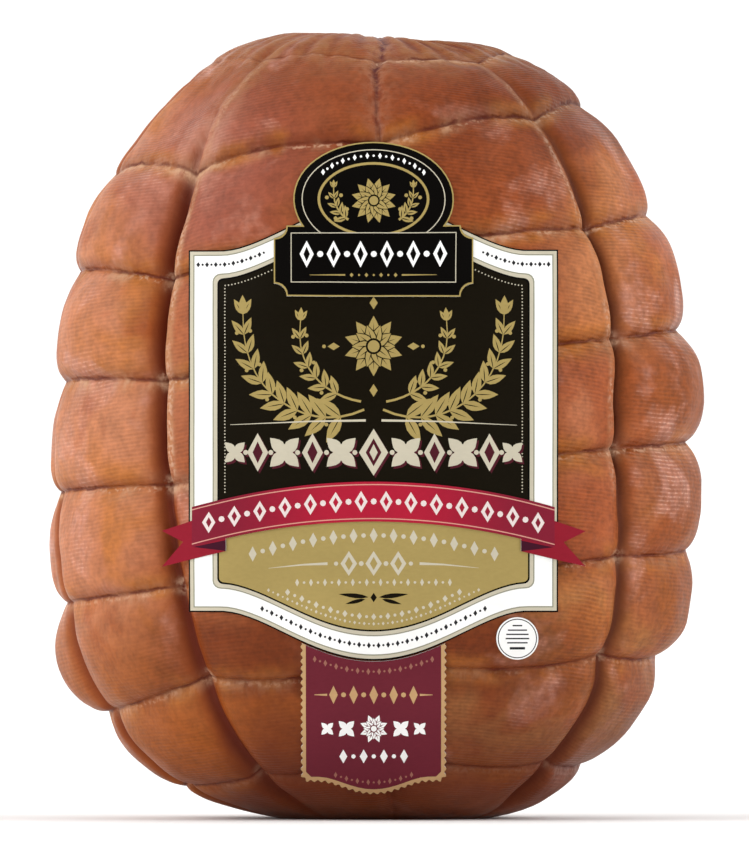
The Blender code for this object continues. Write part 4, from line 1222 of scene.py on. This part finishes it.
rose_line = make_ink("rose_line_ink", (0.640, 0.300, 0.240), 0.1)
blush = make_ink("blush_ink", (0.780, 0.670, 0.640), 0.1)
ribbon_tree = crimson.node_tree
ribbon_place = put(ribbon_tree, "ShaderNodeTexCoord").outputs["Object"]
ribbon_across = put(ribbon_tree, "ShaderNodeSeparateXYZ", {"Vector": ribbon_place}).outputs["X"]
to_ends = span(maths("ABSOLUTE", ribbon_across), 0.008, 0.052)
ribbon_red = tint(to_ends, (0.420, 0.0150, 0.0390), (0.215, 0.0150, 0.0330))
ribbon_tree.links.new(ribbon_red, ribbon_tree.nodes["Group"].inputs["Ink"])
outer_rim = closed_by_mirror(
    [(x, band_height(x, BAND_WIDTH)) for x in evenly(0.0, fold_x, 18)]
    + tail_tip + [(BAND_HALF_WIDTH, end_bottom + 8.2)]
    + [(x, band_height(x)) for x in evenly(BAND_HALF_WIDTH, 0.0, 22)])
ribbon_shapes = [(tail_red, outer_rim)] + both_sides([(tail_red, tail), (fold_dark, fold)])
for ink, inset in ((crimson, 0.0), (rose_line, 0.75), (crimson, 1.10)):
    ribbon_shapes.append((ink, band_outline(inset)))
row = [(x, band_height(x, BAND_WIDTH / 2)) for x in evenly(-51.5, 51.5, 27)]
ribbon_shapes += bead_row(row, blush, 2.05, 3.3, 0.95)
ribbon_shapes += bead_row(row[::2], crimson, 0.85, 1.6)
ribbon = print_sheet("ribbon", ribbon_shapes, UPPER_LIFT, paper_back)
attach(ribbon, "root")
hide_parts("label_banner")

# ---- The badge ----
# A black paper oval on a plate with hollowed corners, edged with gold lines. It is stuck over the main
# label's top edge.
OVAL_HEIGHT = 196.1
OVAL_HALF_WIDTH = 25.2
OVAL_HALF_HEIGHT = 18.1
PLATE_HALF_WIDTH = 31.3
PLATE_TOP = 188.0
PLATE_BOTTOM = 165.5
PLATE_CORNER = 4.0
PLATE_FRAME_HALF_WIDTH = 26.0  # the fine frame printed on the plate
PLATE_FRAME_BOTTOM = 169.8
PLATE_FRAME_TOP = 185.8
PLATE_LINE = 0.28


def badge_outline(inset):
    half, bottom, top = PLATE_HALF_WIDTH - inset, PLATE_BOTTOM + inset, PLATE_TOP - inset
    turns = [math.radians(turn) for turn in evenly(0, 90, 6)]
    hollow = [(half - PLATE_CORNER * math.cos(t), PLATE_CORNER * math.sin(t)) for t in turns]
    right = [(0.0, bottom)] + [(x, bottom + rise) for x, rise in hollow]
    right += [(x, top - rise) for x, rise in reversed(hollow)]
    half_width, half_height = OVAL_HALF_WIDTH - inset, OVAL_HALF_HEIGHT - inset
    start = math.asin((top - OVAL_HEIGHT) / half_height)
    turns = evenly(start, math.pi / 2, 19)
    right += [(half_width * math.cos(t), OVAL_HEIGHT + half_height * math.sin(t)) for t in turns]
    right[-1] = (0.0, OVAL_HEIGHT + half_height)
    return closed_by_mirror(right)


def oval_ring(half_width, half_height, width, ink):
    return [(ink, oval(0.0, OVAL_HEIGHT, half_width, half_height, 56)),
            (black, oval(0.0, OVAL_HEIGHT, half_width - width, half_height - width, 56))]


badge = [(gold, badge_outline(0.0)), (black, badge_outline(0.42))]
badge += oval_ring(22.6, 15.7, 0.30, cream) + oval_ring(17.6, 11.6, 0.80, gold)
badge += rosette(0.0, OVAL_HEIGHT - 0.4, 7.2, 12, gold, black)
twig = bezier(((8.0, 189.7), (10.5, 191.3), (13.0, 194.1), (12.6, 199.7)), 8)
badge += [(ink if ink == gold else black, outline) for ink, outline in both_sides(spray(twig, 5, 4.2, 0.1))]
turns = [math.radians(turn) for turn in evenly(-52, 52, 19)]
arc = [(20.1 * math.sin(turn), OVAL_HEIGHT + 13.65 * math.cos(turn)) for turn in turns]
badge += bead_row(arc, white, 0.60, 1.00, 0.38)
for ink, inset in ((cream, 0.0), (black, PLATE_LINE)):
    half = PLATE_FRAME_HALF_WIDTH - inset
    badge.append((ink, rectangle(-half, half, PLATE_FRAME_BOTTOM + inset, PLATE_FRAME_TOP - inset)))
row = [(x, 178.9) for x in evenly(-21.0, 21.0, 11)]
badge += bead_row(row, white, 2.2, 4.3, 1.0)
badge += bead_row(row[::2], black, 1.0, 2.4)
LOW_ROW = 172.2
row = [(x, LOW_ROW) for x in evenly(-7.0, 7.0, 7)]
badge += bead_row(row, gold, 0.6, 0.7, 0.35)
badge += both_sides([(gold, stroke([(9.0, LOW_ROW), (20.0, LOW_ROW)], lambda share: 0.5 - 0.35 * share))])
badge_piece = print_sheet("badge", badge, UPPER_LIFT, paper_back)
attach(badge_piece, "root")
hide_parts("label_medallion")

# ---- The studio ----
# A plain pale floor that runs far back, a broad soft light from each side, a bright room that is dim in
# front, and a long lens at the height of the ham's middle, so that the view is nearly flat.
FLOOR_REACH = 40
floor_mesh = bpy.data.meshes.new("floor")
floor_corners = rectangle(-FLOOR_REACH, FLOOR_REACH, -FLOOR_REACH, FLOOR_REACH)
floor_mesh.from_pydata([(x, y, 0) for x, y in floor_corners], [], [(0, 1, 2, 3)])
floor = stand("floor", floor_mesh)
floor_paint, floor_tree, floor_shader = start_material("pale_floor")
floor_place = put(floor_tree, "ShaderNodeTexCoord").outputs["Object"]
floor_tone = tint(mottle(floor_place, 0.4), (0.955, 0.955, 0.950), (0.975, 0.975, 0.970))
floor_tree.links.new(floor_tone, floor_shader.inputs["Base Color"])
floor_shader.inputs["Roughness"].default_value = 0.7
floor_mesh.materials.append(floor_paint)

world = bpy.data.worlds.new("studio")
bpy.context.scene.world = world
world.use_nodes = True
sky = world.node_tree
heading = put(sky, "ShaderNodeTexCoord").outputs["Generated"]
towards_back = put(sky, "ShaderNodeSeparateXYZ", {"Vector": heading}).outputs["Y"]
glow = span(towards_back, -0.85, 0.0, 0.335, 1.12)
sky.links.new(glow, sky.nodes["Background"].inputs["Strength"])
sky.nodes["Background"].inputs["Color"].default_value = (1.0, 1.0, 1.0, 1.0)
bpy.context.scene.view_settings.view_transform = "Standard"

CAMERA_DISTANCE = 8.0
FRAME_HEIGHT = 0.2723          # metres seen from top to bottom at the ham
AIM = Vector((-0.0003, 0.0, 0.1244))
camera_data = bpy.data.cameras.new("camera")
camera_data.sensor_width = 36.0
camera_data.lens = camera_data.sensor_width * CAMERA_DISTANCE / FRAME_HEIGHT
camera = stand("camera", camera_data)
camera.location = AIM + Vector((0.0, -CAMERA_DISTANCE, 0.0))
camera.rotation_euler = (AIM - camera.location).to_track_quat("-Z", "Y").to_euler()
bpy.context.scene.camera = camera


def soft_light(name, direction, spread, strength):
    """A light as broad as a large soft box, far enough away to light the whole floor alike."""
    light = bpy.data.lights.new(name, "SUN")
    light.angle = math.radians(spread)
    light.energy = strength
    stand(name, light).rotation_euler = (-Vector(direction)).to_track_quat("-Z", "Y").to_euler()


soft_light("left_light", (-1.0, -0.45, 0.55), 50, 1.62)
soft_light("right_light", (1.0, -0.40, 0.50), 50, 1.12)
